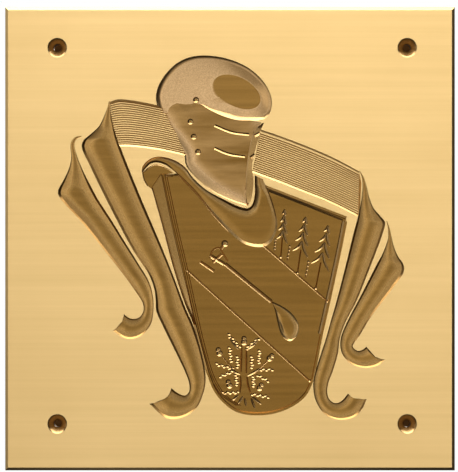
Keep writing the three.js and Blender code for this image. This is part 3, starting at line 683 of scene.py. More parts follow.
lid_depth = times(given["Lift"], -1.0)
lid_gap = times(is_lid, minus(lid_depth, floor_depth))
depth = plus(given["Face"], plus(floor_depth, lid_gap))
carved_point = node(trough_tree, "ShaderNodeCombineXYZ", {"X": level["X"], "Y": depth, "Z": level["Z"]})
links = {"Geometry": skin.outputs["Mesh"], "Position": carved_point.outputs["Vector"]}
shaped = node(trough_tree, "GeometryNodeSetPosition", links)
finished(trough_tree, shaped.outputs["Geometry"], given["Material"])


def cut_trough(rungs, profile, bow=(0, 0), far_depth=0.0, material=milled):
    """Cuts a trough between a ladder's edges, with a bowed end and a far edge that starts at this depth."""
    near = smooth([(x, z) for x, z, _, _ in rungs], RUNG_STEPS)
    far = smooth([(x, z) for _, _, x, z in rungs], RUNG_STEPS)
    base = bpy.data.meshes.new("edges")
    base.from_pydata([sunk(x, z, 0) for x, z in near + far], [], [])
    cut_by(
        trough_tree,
        base,
        columns=TROUGH_COLUMNS,
        end_bow=(float(bow[0]), 0.0, float(bow[1])),
        bowed_rows=float(RUNG_STEPS),
        face=-plate_size.y,
        lift=LIFT,
        far_depth=far_depth,
        material=material,
        **profile,
    )


# A V-shaped line: the section follows the line, held upright, and thins where the line's own values say
line_tree, given = new_tree(
    "cut line", {"Width": "Float", "Depth": "Float", "Lift": "Float", "Material": "Material"}
)
path = node(line_tree, "GeometryNodeMeshToCurve", {"Mesh": given["Geometry"]})
links = {"Curve": path.outputs["Curve"], "Normal": (0, -1, 0)}
upright = node(line_tree, "GeometryNodeSetCurveNormal", links, mode="FREE")
opening = sums(line_tree, "DIVIDE", sums(line_tree, "ADD", given["Depth"], given["Lift"]), given["Depth"])
half_width = sums(line_tree, "MULTIPLY", sums(line_tree, "MULTIPLY", given["Width"], 0.5), opening)
other_side = sums(line_tree, "MULTIPLY", half_width, -1.0)
deepest = sums(line_tree, "MULTIPLY", given["Depth"], -1.0)
section_corners = (
    {"X": given["Lift"], "Y": half_width},
    {"X": deepest},
    {"X": given["Lift"], "Y": other_side},
    {"X": given["Lift"]},
)
links = {}
for number, corner in enumerate(section_corners, 1):
    links[f"Point {number}"] = node(line_tree, "ShaderNodeCombineXYZ", corner).outputs["Vector"]
section = node(line_tree, "GeometryNodeCurvePrimitiveQuadrilateral", links, mode="POINTS")
links = {"Curve": upright.outputs["Curve"], "Profile Curve": section.outputs["Curve"]}
links |= {"Scale": own_value(line_tree, "size"), "Fill Caps": True}
swept = node(line_tree, "GeometryNodeCurveToMesh", links)
finished(line_tree, united(line_tree, swept.outputs["Mesh"]), given["Material"])


def cut_lines(lines, section, floor, tip=1.0):
    """Cuts V-shaped lines into a floor at this depth, or at a point's own, thinned to the tip's share."""
    points = []
    joins = []
    sizes = []
    for line in lines:
        path = smooth(line, LINE_STEPS)
        for i, (x, z, *own) in enumerate(path):
            if i:
                joins.append((len(points) - 1, len(points)))
            share = i / (len(path) - 1)
            points.append(sunk(x, z, own[0] if own else floor))
            sizes.append(tip + (1 - tip) * math.sqrt(math.sin(math.pi * share)))
    base = bpy.data.meshes.new("lines")
    base.from_pydata(points, joins, [])
    thin = base.attributes.new("size", "FLOAT", "POINT")
    thin.data.foreach_set("value", sizes)
    cut_by(line_tree, base, **{"lift": LIFT, **section})


CREASE = {"width": 0.8, "depth": 0.16}
CREASE_FLOOR = 1.7
CREASE_TIP = 0.2
CREASES = [
    [(-35.8, -31.0), (-33.0, -29.0), (-31.4, -25.8)],
    [(-16.8, -62.6), (-13.0, -61.6), (-10.4, -58.4)],
    [(49.0, -44.2), (46.4, -43.6), (44.4, -41.8)],
    [(41.0, -66.6), (37.0, -64.4), (34.2, -60.8)],
]

# The ribbons carry painted light on their slopes and painted shade on their walls
cut_trough(LEFT_OUTER_RIBBON, RIBBON, LEFT_OUTER_NOTCH, material=ribbon_painted_shading)
cut_trough(LEFT_INNER_RIBBON, RIBBON, LEFT_INNER_NOTCH, material=ribbon_painted_shading)
cut_trough(RIGHT_INNER_RIBBON, RIBBON, RIGHT_INNER_NOTCH, material=ribbon_painted_shading)
cut_trough(RIGHT_OUTER_RIBBON, RIBBON, RIGHT_OUTER_NOTCH, material=ribbon_painted_shading)
cut_lines(CREASES, CREASE, CREASE_FLOOR, CREASE_TIP)


# Ribbed band
# A band of fine ribs lies behind the helm, in a shallow trough with a sloping wall above and below.
# The ribs are brushed like the face, with dark cuts between. On the right a plain strip runs along the top.
BAND = {"wall_width": 0.8, "wall_depth": 0.68, "cove_width": 9.3, "floor_depth": 0.7, "narrowing": 0.0}
RIB_CUT = {"width": 0.46, "depth": 0.25, "lift": 0.06}
RIB_FLOOR = 0.7
LEFT_RIBS = {"count": 20, "first": 0.05, "last": 0.95}
RIGHT_RIBS = {"count": 19, "first": 0.1, "last": 0.95}

# From the helm outwards: upper edge x, z, then lower edge x, z
LEFT_BAND = [
    (-26.0, 52.8, -17.6, 33.2),
    (-34.1, 54.5, -27.2, 35.3),
    (-39.4, 55.4, -34.8, 36.4),
    (-44.6, 55.8, -40.4, 36.9),
    (-48.0, 54.8, -44.0, 36.9),
]
RIGHT_BAND = [
    (12.2, 43.8, 8.9, 26.5),
    (22.0, 40.4, 19.8, 22.5),
    (31.6, 36.7, 29.4, 18.7),
    (41.9, 32.2, 39.6, 14.6),
    (51.6, 27.0, 51.0, 8.9),
]
LEFT_BAND_END = (-1.3, 0)
RIGHT_BAND_END = (1.5, 0)


def cut_ribs(rungs, ribs, end):
    """Cuts the lines of a band, side by side across its rungs and out to its bowed end."""
    lines = []
    for i in range(ribs["count"]):
        share = ribs["first"] + (ribs["last"] - ribs["first"]) * i / (ribs["count"] - 1)
        line = [Vector(rung[:2]).lerp(Vector(rung[2:]), share) for rung in rungs]
        line[-1] += BOW_PEAK * share * (1 - share) * Vector(end)
        lines.append(line)
    cut_lines(lines, RIB_CUT, RIB_FLOOR)


cut_trough(LEFT_BAND, BAND, LEFT_BAND_END, material=brushed)
cut_trough(RIGHT_BAND, BAND, RIGHT_BAND_END, material=brushed)
cut_ribs(LEFT_BAND, LEFT_RIBS, LEFT_BAND_END)
cut_ribs(RIGHT_BAND, RIGHT_RIBS, RIGHT_BAND_END)


# Shield
# A sloping rim runs round a flat field, and a strip along the field's left side shows the shield's thickness.
# Fine lines follow the strip, and two slanting lines divide the field.
FIELD_DEPTH = 1.3
FIELD_DRAFT = 0.5
RIM_DEPTH = 0.22
RIM_WIDTH = 0.75
STRIP = {"left": 1.5, "right": 0.8}
SCROLL_DEPTH = 1.2
SCROLL_DRAFT = 0.4
FIELD_STEPS = 8
STRIP_STEPS = 6

FIELD_CORNER_LEFT = (-27.8, 25.8)
FIELD_CORNER_RIGHT = (46.4, 8.2)
# Along the collar's lower edge, just inside it
FIELD_TOP = [
    (-20.4, 25.6),
    (-16.9, 22.6),
    (-11.0, 16.7),
    (-5.2, 9.6),
    (0.2, 3.8),
    (6.8, -1.4),
    (13.8, -1.7),
    (17.7, 4.3),
    (16.0, 14.4),
    (13.8, 20.8),
]
FIELD_RIGHT = [(43.9, -4.4), (38.9, -27.4), (36.5, -38.0), (33.1, -55.8)]
FIELD_FOOT = [(29.6, -62.6), (22.4, -67.6), (12.4, -69.9), (2.4, -68.4), (-5.0, -61.8), (-8.8, -53.4)]
FIELD_LEFT = [(-13.9, -34.4), (-16.3, -25.2), (-19.9, -10.8), (-23.7, 5.6)]
# Left edge x, z, then right edge x, z
STRIP_RUNGS = [
    (-31.4, 20.4, -27.6, 25.8),
    (-27.2, 5.6, -23.4, 5.6),
    (-23.0, -10.4, -19.6, -10.8),
    (-18.4, -25.0, -16.0, -25.4),
    (-14.5, -34.4, -13.7, -34.6),
]
SCROLL_INSIDE = [
    (-35.2, 26.4),
    (-33.2, 28.1),
    (-30.4, 29.9),
    (-27.8, 29.8),
    (-24.6, 28.0),
    (-22.4, 26.2),
    (-27.6, 25.6),
    (-31.4, 19.9),
    (-33.2, 21.2),
    (-34.5, 23.4),
]
SIDE_LINE = [
    (-27.0, 25.4),
    (-22.8, 5.6),
    (-18.8, -11.4),
    (-13.4, -36.0),
    (-10.6, -47.0),
    (-7.8, -55.6),
    (-3.6, -62.4),
    (2.6, -66.8),
]
SIDE_LINE_STEPS = (0.05, 0.85, 1.65)
DIVISION_LINES = [
    [(13.2, -2.6), (26.2, -13.8), (39.0, -25.0)],
    [(-17.2, -12.6), (7.4, -34.8), (31.8, -56.8)],
]
SHORT_LINE = [(-26.0, 25.3), (-22.8, 25.3)]
FINE_LINE = {"width": 0.32, "depth": 0.32}
DIVISION_LINE = {"width": 0.8, "depth": 0.33}
DOT_RADIUS = 0.6
# A dark line in the corner at the strip's left edge, and a bright one at the foot of the rim
CORNER_LINE = {"width": 0.8, "depth": 0.7, "lift": 0.06}
CORNER_LINE_STEP = 0.4
RIM_LINE = {"width": 0.8, "depth": 0.25}
RIM_LINES = [
    [(15.4, 19.2), (30.4, 13.4), (45.2, 7.4)],
    [(45.2, 7.0), (43.0, -4.4), (38.0, -27.4), (35.6, -38.0)],
]


def moved_out(outline, by):
    """An outline moved outwards, or inwards where the distance is negative."""
    moved = []
    for i, (x, z) in enumerate(outline):
        before = Vector(outline[i - 1])
        after = Vector(outline[(i + 1) % len(outline)])
        out = Vector((before.y - after.y, after.x - before.x)).normalized() * by
        moved.append((x + out.x, z + out.y))
    return moved


def cut_pocket(name, outline, depth, draft):
    """Cuts a flat-floored pocket, its walls leaning in by the draft at the floor."""
    inner = moved_out(outline, -draft)
    outer = moved_out(outline, draft * LIFT / depth)
    levels = ((outer, -LIFT), (inner, depth))
    cut(loft(name, [[sunk(x, z, level) for x, z in ring] for ring, level in levels]))


def cut_slope(name, rungs, left, right):
    """Cuts a plain slope between the two edges of a ladder."""
    near = smooth([(x, z) for x, z, _, _ in rungs], STRIP_STEPS)
    far = smooth([(x, z) for _, _, x, z in rungs], STRIP_STEPS)
    rings = []
    for (x, z), (far_x, far_z) in zip(near, far):
        rings.append(
            [sunk(x, z, left), sunk(far_x, far_z, right), sunk(far_x, far_z, -LIFT), sunk(x, z, -LIFT)]
        )
    cut(loft(name, rings))


field = [FIELD_CORNER_LEFT, *smooth(FIELD_TOP, FIELD_STEPS), FIELD_CORNER_RIGHT]
field += smooth([FIELD_CORNER_RIGHT, *FIELD_RIGHT], FIELD_STEPS)[1:]
field += smooth([FIELD_RIGHT[-1], *FIELD_FOOT], FIELD_STEPS)[1:]
field += FIELD_LEFT
cut_pocket("shield field", field, FIELD_DEPTH, FIELD_DRAFT)
cut_pocket("shield rim", moved_out(field, RIM_WIDTH), RIM_DEPTH, RIM_WIDTH)
cut_slope("shield side", STRIP_RUNGS, **STRIP)
cut_pocket("scroll", SCROLL_INSIDE, SCROLL_DEPTH, SCROLL_DRAFT)
cut_lines([[(x + step, z) for x, z in SIDE_LINE] for step in SIDE_LINE_STEPS], FINE_LINE, FIELD_DEPTH)
cut_lines([*DIVISION_LINES, SHORT_LINE], DIVISION_LINE, FIELD_DEPTH)
cut_lines([[(x + CORNER_LINE_STEP, z) for x, z, _, _ in STRIP_RUNGS]], CORNER_LINE, STRIP["left"])
cut_lines(RIM_LINES, RIM_LINE, FIELD_DEPTH)


# Helm and collar
# A closed helm looks to the right: a domed skull over a brow crest, and a visor with slits and rivets.
# The cloth collar under it starts in a scroll at the left and ends in a lap that hangs over the shield.
COLLAR = {"wall_width": 1.1, "wall_depth": 1.45, "cove_width": 4.6, "floor_depth": 2.05, "narrowing": 0.5}
SCROLL_LINE = {"width": 2.0, "depth": 0.62}
SCROLL_RUNGS = 7
COLLAR_LINE = {"width": 1.0, "depth": 0.42}
COLLAR_LINE_RUNGS = (5, 11)
COLLAR_TIP = 0.3
DOME_FLOOR = 1.7
DOME_CURVE = 1.15
VISOR_FLOOR = 1.5
VISOR_CURVE = 3.0
VISOR_WALL = 0.9
WALL_FALL = 0.75
WALL_EASE = 0.45
WALL_STEPS = 5
NOSE_STRIP = {"left": 1.2, "right": 0.5}
NOSE_LINE = {"width": 0.5, "depth": 0.25}
SLIT = {"width": 1.2, "depth": 0.38}
RIVET_RADIUS = 1.25
BOWL_STEPS = 14
RIM_STEPS = 8
MARK_SIDES = 20
MARK_LEVELS = 5
MARK_STEEP = math.radians(50)
PUNCH_TIP = 0.04
PUNCH_FALL = 0.62

# Helm side x, z, then shield side x, z
COLLAR_RUNGS = [
    (-35.3, 26.6, -34.9, 26.6),
    (-34.9, 29.0, -33.6, 28.3),
    (-32.6, 31.5, -31.8, 29.9),
    (-29.2, 32.8, -29.4, 30.5),
    (-25.1, 32.4, -26.0, 29.6),
    (-21.0, 30.8, -23.4, 27.8),
    (-17.8, 28.4, -20.9, 25.8),
    (-14.8, 24.4, -17.4, 22.4),
    (-9.8, 19.8, -11.6, 16.2),
    (-1.4, 15.2, -6.0, 8.9),
    (4.6, 12.6, -0.5, 2.9),
    (7.3, 12.3, 6.6, -2.4),
    (8.9, 13.7, 14.8, -2.7),
    (9.9, 18.0, 18.8, 4.2),
    (9.9, 22.0, 17.0, 14.8),
    (9.9, 25.4, 13.2, 23.8),
]
# Round a bowl: x, z, the depth at which it starts, and the width of its rounded wall
DOME_RIM = [
    (-27.9, 49.8, 0.0, 2.0),
    (-29.3, 54.0, 0.0, 2.4),
    (-29.6, 57.6, 0.0, 2.4),
    (-28.1, 62.2, 0.0, 2.4),
    (-24.8, 67.0, 0.0, 2.4),
    (-20.5, 70.7, 0.0, 2.2),
    (-15.7, 72.7, 0.0, 2.0),
    (-9.6, 73.3, 0.0, 1.8),
    (-1.0, 72.0, 0.0, 1.5),
    (7.6, 68.2, 0.0, 1.2),
    (13.6, 62.6, 0.0, 1.2),
    (16.4, 57.0, 0.0, 1.2),
    (16.7, 53.4, 0.0, 1.2),
    (15.9, 50.2, 0.0, 1.4),
    (13.9, 47.9, 0.0, 1.8),
]
DOME_BROW = [
    (13.9, 47.9, 0.0, 1.8),
    (8.6, 46.9, 0.1, 3.2),
    (3.4, 47.1, 0.2, 3.2),
    (-1.8, 48.4, 0.4, 2.8),
    (-7.5, 50.9, 0.8, 1.9),
    (-12.4, 54.0, 1.45, 0.1),
    (-18.0, 52.5, 1.2, 0.1),
    (-23.2, 51.1, 0.95, 0.1),
    (-27.9, 49.8, 0.0, 2.0),
]
DOME_FLAT = {"x": 3.0, "z": 58.8, "long": 10.0, "short": 5.8, "tilt": -28}
VISOR_BROW = [
    (12.6, 46.4, 0.7, 0.3),
    (8.6, 47.3, 1.3, 0.2),
    (3.4, 47.5, 1.4, 0.2),
    (-1.8, 48.8, 1.4, 0.2),
    (-7.5, 51.3, 1.42, 0.2),
    (-12.6, 54.4, 1.4, 0.2),
    (-18.0, 57.4, 1.0, 0.2),
    (-24.0, 60.0, 0.45, 0.3),
    (-28.5, 61.4, 0.0, 0.9),
]
VISOR_BACK = [
    (-28.5, 61.4),
    (-29.6, 57.6),
    (-29.3, 54.0),
    (-28.0, 50.0),
    (-26.2, 46.2),
    (-22.6, 41.0),
    (-19.6, 36.2),
    (-18.2, 33.4),
    (-17.8, 30.0),
    (-16.8, 28.0),
    (-13.8, 24.6),
    (-9.6, 20.9),
    (-5.3, 18.0),
    (1.2, 15.0),
    (6.7, 13.2),
]
VISOR_NOSE = [
    (6.7, 13.2, 0.2, 0.3),
    (6.6, 20.0, 1.2, 0.3),
    (6.8, 26.2, 1.35, 0.3),
    (7.4, 31.9, 1.38, 0.3),
    (8.4, 38.0, 1.38, 0.3),
    (10.0, 43.0, 1.2, 0.3),
    (12.6, 46.4, 0.7, 0.3),
]
VISOR_FLAT = {"x": -3.5, "z": 36.5, "long": 9.0, "short": 4.5, "tilt": 104}
# Left edge x, z, then right edge x, z
NOSE_RUNGS = [
    (12.8, 46.2, 13.6, 46.4),
    (9.6, 43.0, 12.3, 43.3),
    (8.1, 39.0, 11.3, 39.6),
    (7.1, 33.6, 9.7, 33.8),
    (6.5, 27.9, 8.8, 27.9),
    (6.4, 24.0, 9.4, 24.2),
    (6.3, 19.6, 9.2, 19.6),
    (6.4, 15.0, 8.2, 14.9),
    (6.7, 13.4, 7.0, 13.3),
]
# Each point's third value is its depth
RIVETS = [(-13.6, 55.6, 1.5), (-15.8, 46.9, 1.38), (-14.5, 40.9, 1.4), (-12.8, 34.8, 1.4)]
SLITS = [
    [(-6.2, 45.4, 1.48), (0.6, 42.7, 1.49), (7.6, 41.7, 1.4)],
    [(-6.2, 36.3, 1.49), (-0.6, 34.0, 1.49), (6.0, 32.9, 1.42)],
    [(9.8, 41.4, 1.0), (11.8, 42.4, 0.6)],
    [(8.2, 32.6, 0.95), (10.0, 33.8, 0.55)],
]


def cut_bowl(name, outline, oval, bottom, curve, level=0.0, material=milled):
    """Cuts a bowl in a floor at this level: an outline, a rounded wall and a curve to a flat oval."""
    middle = Vector((oval["x"], oval["z"]))
    turn = Matrix.Rotation(math.radians(oval["tilt"]), 2)
    rays = []
    for x, z, start, wall in outline:
        rim = Vector((x, z))
        out = turn.inverted() @ (rim - middle)
        angle = math.atan2(out.y / oval["short"], out.x / oval["long"])
        foot = turn @ Vector((oval["long"] * math.cos(angle), oval["short"] * math.sin(angle))) + middle
        inward = foot - rim
        wall = min(wall, HALF * inward.length)
        rays.append((rim, inward, start, wall / inward.length, wall * WALL_FALL))
    rings = [[sunk(*rim, level - LIFT) for rim, *_ in rays]]
    for i in range(WALL_STEPS + 1):
        share = i / WALL_STEPS
        ring = []
        for rim, inward, start, wall_share, fall in rays:
            depth = min(start + fall * (share - WALL_EASE * share**2), bottom)
            ring.append(sunk(*(rim + inward * wall_share * share), level + depth))
        rings.append(ring)
    for i in range(BOWL_STEPS):
        share = (i + 1) / BOWL_STEPS
        ring = []
        for rim, inward, start, wall_share, fall in rays:
            below_wall = min(start + fall * (1 - WALL_EASE), bottom)
            depth = below_wall + (bottom - below_wall) * (1 - (1 - share) ** curve)
            ring.append(sunk(*(rim + inward * (wall_share + share * (1 - wall_share))), level + depth))
        rings.append(ring)
    cut(loft(name, rings), material)


def dimple(name, radius):
    """A round mark like part of a ball, set in the floor that it is cut in."""
    ball = radius / math.sin(MARK_STEEP)
    profile = [(radius, -LIFT)]
    for i in range(MARK_LEVELS):
        angle = MARK_STEEP * (1 - i / MARK_LEVELS)
        profile.append((ball * math.sin(angle), ball * (math.cos(angle) - math.cos(MARK_STEEP))))
    return turned_cutter(name, profile, MARK_SIDES)


def punch(name, radius):
    """A round mark like the point of a drill, set in the floor that it is cut in."""
    return turned_cutter(name, [(radius, -LIFT), (radius, 0), (PUNCH_TIP, radius * PUNCH_FALL)], MARK_SIDES)


def joined(*lines):
    """One closed outline from smooth stretches that meet at corners."""
    return [tuple(point) for line in lines for point in smooth(line, RIM_STEPS)[1:]]


def closed(points):
    """A smooth closed outline through its points."""
    return joined([*points, points[0]])


def plain(points, wall):
    """Points of an outline that starts at the face, with a wall of this width."""
    return [(x, z, 0.0, wall) for x, z in points]


cut_trough(COLLAR_RUNGS, COLLAR, far_depth=FIELD_DEPTH)
collar_edge = [rung[2:] for rung in COLLAR_RUNGS]
cut_lines([collar_edge[:SCROLL_RUNGS]], SCROLL_LINE, SCROLL_DEPTH, COLLAR_TIP)
cut_lines([collar_edge[slice(*COLLAR_LINE_RUNGS)]], COLLAR_LINE, FIELD_DEPTH, COLLAR_TIP)
dome_rim = joined(DOME_RIM, DOME_BROW)
visor_rim = joined(VISOR_BROW, plain(VISOR_BACK, VISOR_WALL), VISOR_NOSE)
# The dome's slopes carry the lightest painted light
cut_bowl("helm dome", dome_rim, DOME_FLAT, DOME_FLOOR, DOME_CURVE, material=dome_painted_light)
cut_bowl("helm visor", visor_rim, VISOR_FLAT, VISOR_FLOOR, VISOR_CURVE, material=streaked)
cut_slope("nose strip", NOSE_RUNGS, **NOSE_STRIP)
cut_lines([[rung[:2] for rung in NOSE_RUNGS[1:-2]]], NOSE_LINE, NOSE_STRIP["left"])
cut_marks(dimple("rivet", RIVET_RADIUS), [(*rivet, 0, 1) for rivet in RIVETS])
cut_lines(SLITS, SLIT, 0)


# Conifers
# Three conifers grow in a row beside the helm's collar, each with four tiers of boughs cut as strokes.
# They stand on the upper slanting line, taller to the right, with a sapling at the left of each.
CONIFERS = [
    {"top": (21.9, 11.8), "foot": (20.3, -7.3), "spread": 2.4},
    {"top": (30.3, 8.8), "foot": (27.0, -13.6), "spread": 3.4},
    {"top": (39.3, 5.4), "foot": (34.3, -19.8), "spread": 4.0},
]
BOUGH_TURN = -25
# Along the tree from its top: the tier's peak, its tips, the middle of its lower edge, and its size
BOUGH_TIERS = [
    {"peak": 0, "tips": 0.12, "low": 0.09, "size": 0.3},
    {"peak": 0.12, "tips": 0.3, "low": 0.25, "size": 0.58},
    {"peak": 0.27, "tips": 0.48, "low": 0.42, "size": 0.83},
    {"peak": 0.43, "tips": 0.67, "low": 0.59, "size": 1},
]
BOUGH_LINE = {"width": 1.0, "depth": 0.32}
BOUGH_EDGE = {"width": 2.1, "depth": 0.65}
BOUGH_SAG = 0.25
BOUGH_TIP = 0.2
BOUGH_EDGE_TIP = 0.35
TRUNK = {"width": 0.6, "depth": 0.5}
SAPLINGS = [
    [(18.2, -0.4), (17.8, -5.2)],
    [(23.9, -3.1), (22.9, -8.7)],
    [(31.4, -9.2), (30.2, -15.6)],
]
SAPLING_LINE = {"width": 0.5, "depth": 0.2}
SAPLING_TUFTS = 4
SAPLING_TUFT_SIZE = 0.85

boughs = []
edges = []
trunks = []
dots = []
for conifer in CONIFERS:
    top = Vector(conifer["top"])
    foot = Vector(conifer["foot"])
    aside = Matrix.Rotation(math.radians(BOUGH_TURN), 2) @ Vector((conifer["spread"], 0))
    for tier in BOUGH_TIERS:
        peak = top.lerp(foot, tier["peak"])
        low = top.lerp(foot, tier["low"])
        for reach_out in (-aside, aside):
            tip = top.lerp(foot, tier["tips"]) + reach_out * tier["size"]
            boughs.append([peak, ((peak + tip) / 2).lerp(low, BOUGH_SAG), tip])
            edges.append([tip, ((tip + low) / 2).lerp(peak, BOUGH_SAG), low])
    trunks.append([low, foot])
    dots.append((*foot, FIELD_DEPTH, 0, 1))
for start, end in SAPLINGS:
    for i in range(SAPLING_TUFTS):
        dots.append((*Vector(start).lerp(Vector(end), i / SAPLING_TUFTS), FIELD_DEPTH, 0, SAPLING_TUFT_SIZE))
for line in DIVISION_LINES:
    dots.append((*line[-1], FIELD_DEPTH, 0, 1))
cut_lines(boughs, BOUGH_LINE, FIELD_DEPTH, BOUGH_TIP)
cut_lines(edges, BOUGH_EDGE, FIELD_DEPTH, BOUGH_EDGE_TIP)
cut_lines(trunks, TRUNK, FIELD_DEPTH)
cut_lines(SAPLINGS, SAPLING_LINE, FIELD_DEPTH)
cut_marks(punch("dot", DOT_RADIUS), dots)


# Staff
# A staff lies across the middle of the shield, with a cross-bar, a block and a ball at its upper end.
# Its foot is shaped like a drop. It is cut into the field as grooves, dimples and a bowl.
STEM = {"width": 1.6, "depth": 0.6}
STAFF_LINE = {"width": 1.3, "depth": 0.55}
STAFF_STEM = [(-2.0, -10.0), (7.6, -17.9), (16.6, -25.2)]
STAFF_BAR = [(-11.9, -9.2), (-9.1, -11.1), (-6.4, -13.0)]
STAFF_CROSS = [(-6.9, -9.4), (-5.1, -7.8), (-3.3, -6.1)]
STAFF_NECK = [(-7.8, -6.8), (-5.2, -8.4), (-2.4, -10.0)]
STAFF_OUTLINE = [(-8.0, -7.8), (-6.9, -4.6), (-4.4, -3.6), (-3.4, -4.9), (-0.9, -9.0)]
STAFF_OUTLINE_LINE = {"width": 0.75, "depth": 0.4}
STAFF_LINK = [(-3.6, -3.9), (-2.6, -2.6)]
STAFF_BALL = (-2.1, -1.9)
STAFF_BALL_RADIUS = 1.4
STAFF_DOT = (-2.2, -10.3)
DROP_OUTLINE = [
    (16.2, -24.8),
    (21.2, -27.2),
    (25.2, -30.4),
    (27.5, -34.6),
    (26.6, -39.2),
    (23.8, -41.0),
    (20.8, -38.8),
    (18.9, -33.0),
    (17.8, -28.0),
]
DROP_FLAT = {"x": 23.2, "z": -35.0, "long": 2.6, "short": 1.6, "tilt": -60}
DROP_WALL = 1.3
DROP_FLOOR = 0.75
DROP_CURVE = 1.8

cut_lines([STAFF_STEM, STAFF_NECK], STEM, FIELD_DEPTH)
cut_lines([STAFF_OUTLINE], STAFF_OUTLINE_LINE, FIELD_DEPTH)
cut_lines([STAFF_BAR, STAFF_CROSS, STAFF_LINK], STAFF_LINE, FIELD_DEPTH)
cut_marks(dimple("ball", STAFF_BALL_RADIUS), [(*STAFF_BALL, FIELD_DEPTH, 0, 1)])
cut_marks(punch("dot", DOT_RADIUS), [(*STAFF_DOT, FIELD_DEPTH, 0, 1)])
cut_bowl("drop", plain(closed(DROP_OUTLINE), DROP_WALL), DROP_FLAT, DROP_FLOOR, DROP_CURVE, FIELD_DEPTH)


# Oak
# An uprooted oak fills the foot of the shield: a trunk, boughs, sprays of leaves, acorns and bare roots.
# Each leaf is one short stroke of the tool.
OAK_TRUNK = [
    [(4.7, -42.6), (4.5, -48.0), (4.4, -53.4)],
    [(4.2, -55.0), (4.2, -58.6), (3.8, -62.0)],
    [(6.5, -43.6), (6.5, -48.4), (6.5, -53.8)],
    [(6.8, -55.4), (7.2, -58.6), (8.2, -61.8)],
]
OAK_BOUGHS = [
    [(4.0, -54.3), (1.8, -53.2), (0.4, -51.2)],
    [(7.0, -54.9), (9.4, -53.6), (11.8, -52.0)],
    [(3.4, -44.2), (1.6, -42.2), (0.0, -39.6)],
    [(7.0, -44.2), (9.6, -42.4), (11.2, -40.0)],
]
ACORN_STEMS = [
    [(-4.2, -45.9), (1.0, -51.8)],
    [(16.0, -48.0), (11.8, -52.0)],
]
OAK_TRUNK_LINE = {"width": 0.9, "depth": 0.65}
OAK_TIP = 0.4
OAK_SPRAYS = [
    ((3.8, -43.4), (-0.6, -38.4)),
    ((6.5, -44.0), (11.4, -40.0)),
    ((-0.1, -43.6), (0.4, -49.1)),
    ((3.0, -47.2), (3.1, -51.4)),
    ((8.7, -47.2), (8.8, -51.6)),
    ((11.9, -44.8), (11.5, -49.6)),
    ((1.0, -52.0), (-5.4, -50.2)),
    ((0.8, -53.2), (-3.8, -55.1)),
    ((12.3, -52.4), (16.8, -52.3)),
    ((11.1, -54.6), (15.2, -56.9)),
    ((2.4, -54.6), (2.8, -58.5)),
    ((9.3, -55.2), (9.5, -59.0)),
    ((3.3, -61.5), (-2.9, -61.7)),
    ((8.8, -62.2), (15.2, -63.3)),
]
LEAF_LINE = {"width": 0.95, "depth": 0.3}
LEAF_TIP = 0.2
LEAF_LENGTH = 1.5
LEAF_LEAN = 20
LEAF_SPACING = 1.05
LEAF_OFFSET = 0.25
ACORN_RADIUS = 1.3
ACORN_NUT_GAP = 1.45
ACORN_NUT_SIZE = 0.85
# Where each cup sits, and which way its nut points, in degrees from straight up
ACORNS = [
    (5.6, -41.4, 0),
    (-4.2, -45.8, 20),
    (15.8, -47.9, -40),
    (-0.2, -58.7, 20),
    (11.8, -59.7, -30),
]
ROOT_TIP = 0.3
OAK_ROOTS = [
    [(3.4, -62.6), (0.8, -64.8)],
    [(5.2, -63.1), (3.3, -66.0)],
    [(5.8, -63.8), (6.5, -67.0)],
    [(8.4, -63.8), (10.0, -67.9)],
    [(8.8, -63.1), (12.5, -66.3)],
]

leaves = []
for start, end in OAK_SPRAYS:
    along = Vector(end) - Vector(start)
    aside = along.orthogonal().normalized() * LEAF_OFFSET
    count = round(along.length / LEAF_SPACING)
    for i in range(count + 1):
        side = 1 if i % 2 else -1
        middle = Vector(start) + along * i / count + aside * side
        half = Matrix.Rotation(math.radians(LEAF_LEAN * side), 2) @ Vector((LEAF_LENGTH / 2, 0))
        leaves.append([middle - half, middle, middle + half])
cups = []
for x, z, lean in ACORNS:
    up = Vector((-math.sin(math.radians(lean)), math.cos(math.radians(lean))))
    cups.append((x, z, FIELD_DEPTH, 0, 1))
    cups.append((*(Vector((x, z)) + up * ACORN_NUT_GAP), FIELD_DEPTH, 0, ACORN_NUT_SIZE))
cut_lines(OAK_TRUNK, OAK_TRUNK_LINE, FIELD_DEPTH, OAK_TIP)
cut_lines(OAK_BOUGHS, BOUGH_LINE, FIELD_DEPTH, OAK_TIP)
cut_lines(ACORN_STEMS, SAPLING_LINE, FIELD_DEPTH)
cut_lines(OAK_ROOTS, BOUGH_LINE, FIELD_DEPTH, ROOT_TIP)
cut_lines(leaves, LEAF_LINE, FIELD_DEPTH, LEAF_TIP)
cut_marks(dimple("acorn", ACORN_RADIUS), cups)


# Carving
# Every cutter is taken from the blank in turn, and the plate is brought to its real size.
# Edges that turn sharply stay crisp, and the coves and bowls are smooth.
CRISP_EDGE = math.radians(20)

for number, cutter in enumerate(cutters):
    pass_over = plate.modifiers.new(f"cut {number}", "BOOLEAN")
    pass_over.operation = "DIFFERENCE"
    pass_over.solver = "MANIFOLD"
    pass_over.material_mode = "TRANSFER"
    pass_over.object = cutter
carved = made_plain(plate)
plate.modifiers.clear()
plate.data = carved
for cutter in cutters:
    bpy.data.objects.remove(cutter)
carved.transform(Matrix.Scale(MM, 4))
carved.polygons.foreach_set("use_smooth", [True] * len(carved.polygons))
carved.set_sharp_from_angle(angle=CRISP_EDGE)
shading = plate.modifiers.new("flat floors", "WEIGHTED_NORMAL")
shading.keep_sharp = True
shaded = made_plain(plate)
plate.modifiers.clear()
plate.data = shaded
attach(plate, "root")
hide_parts("relief_plate")


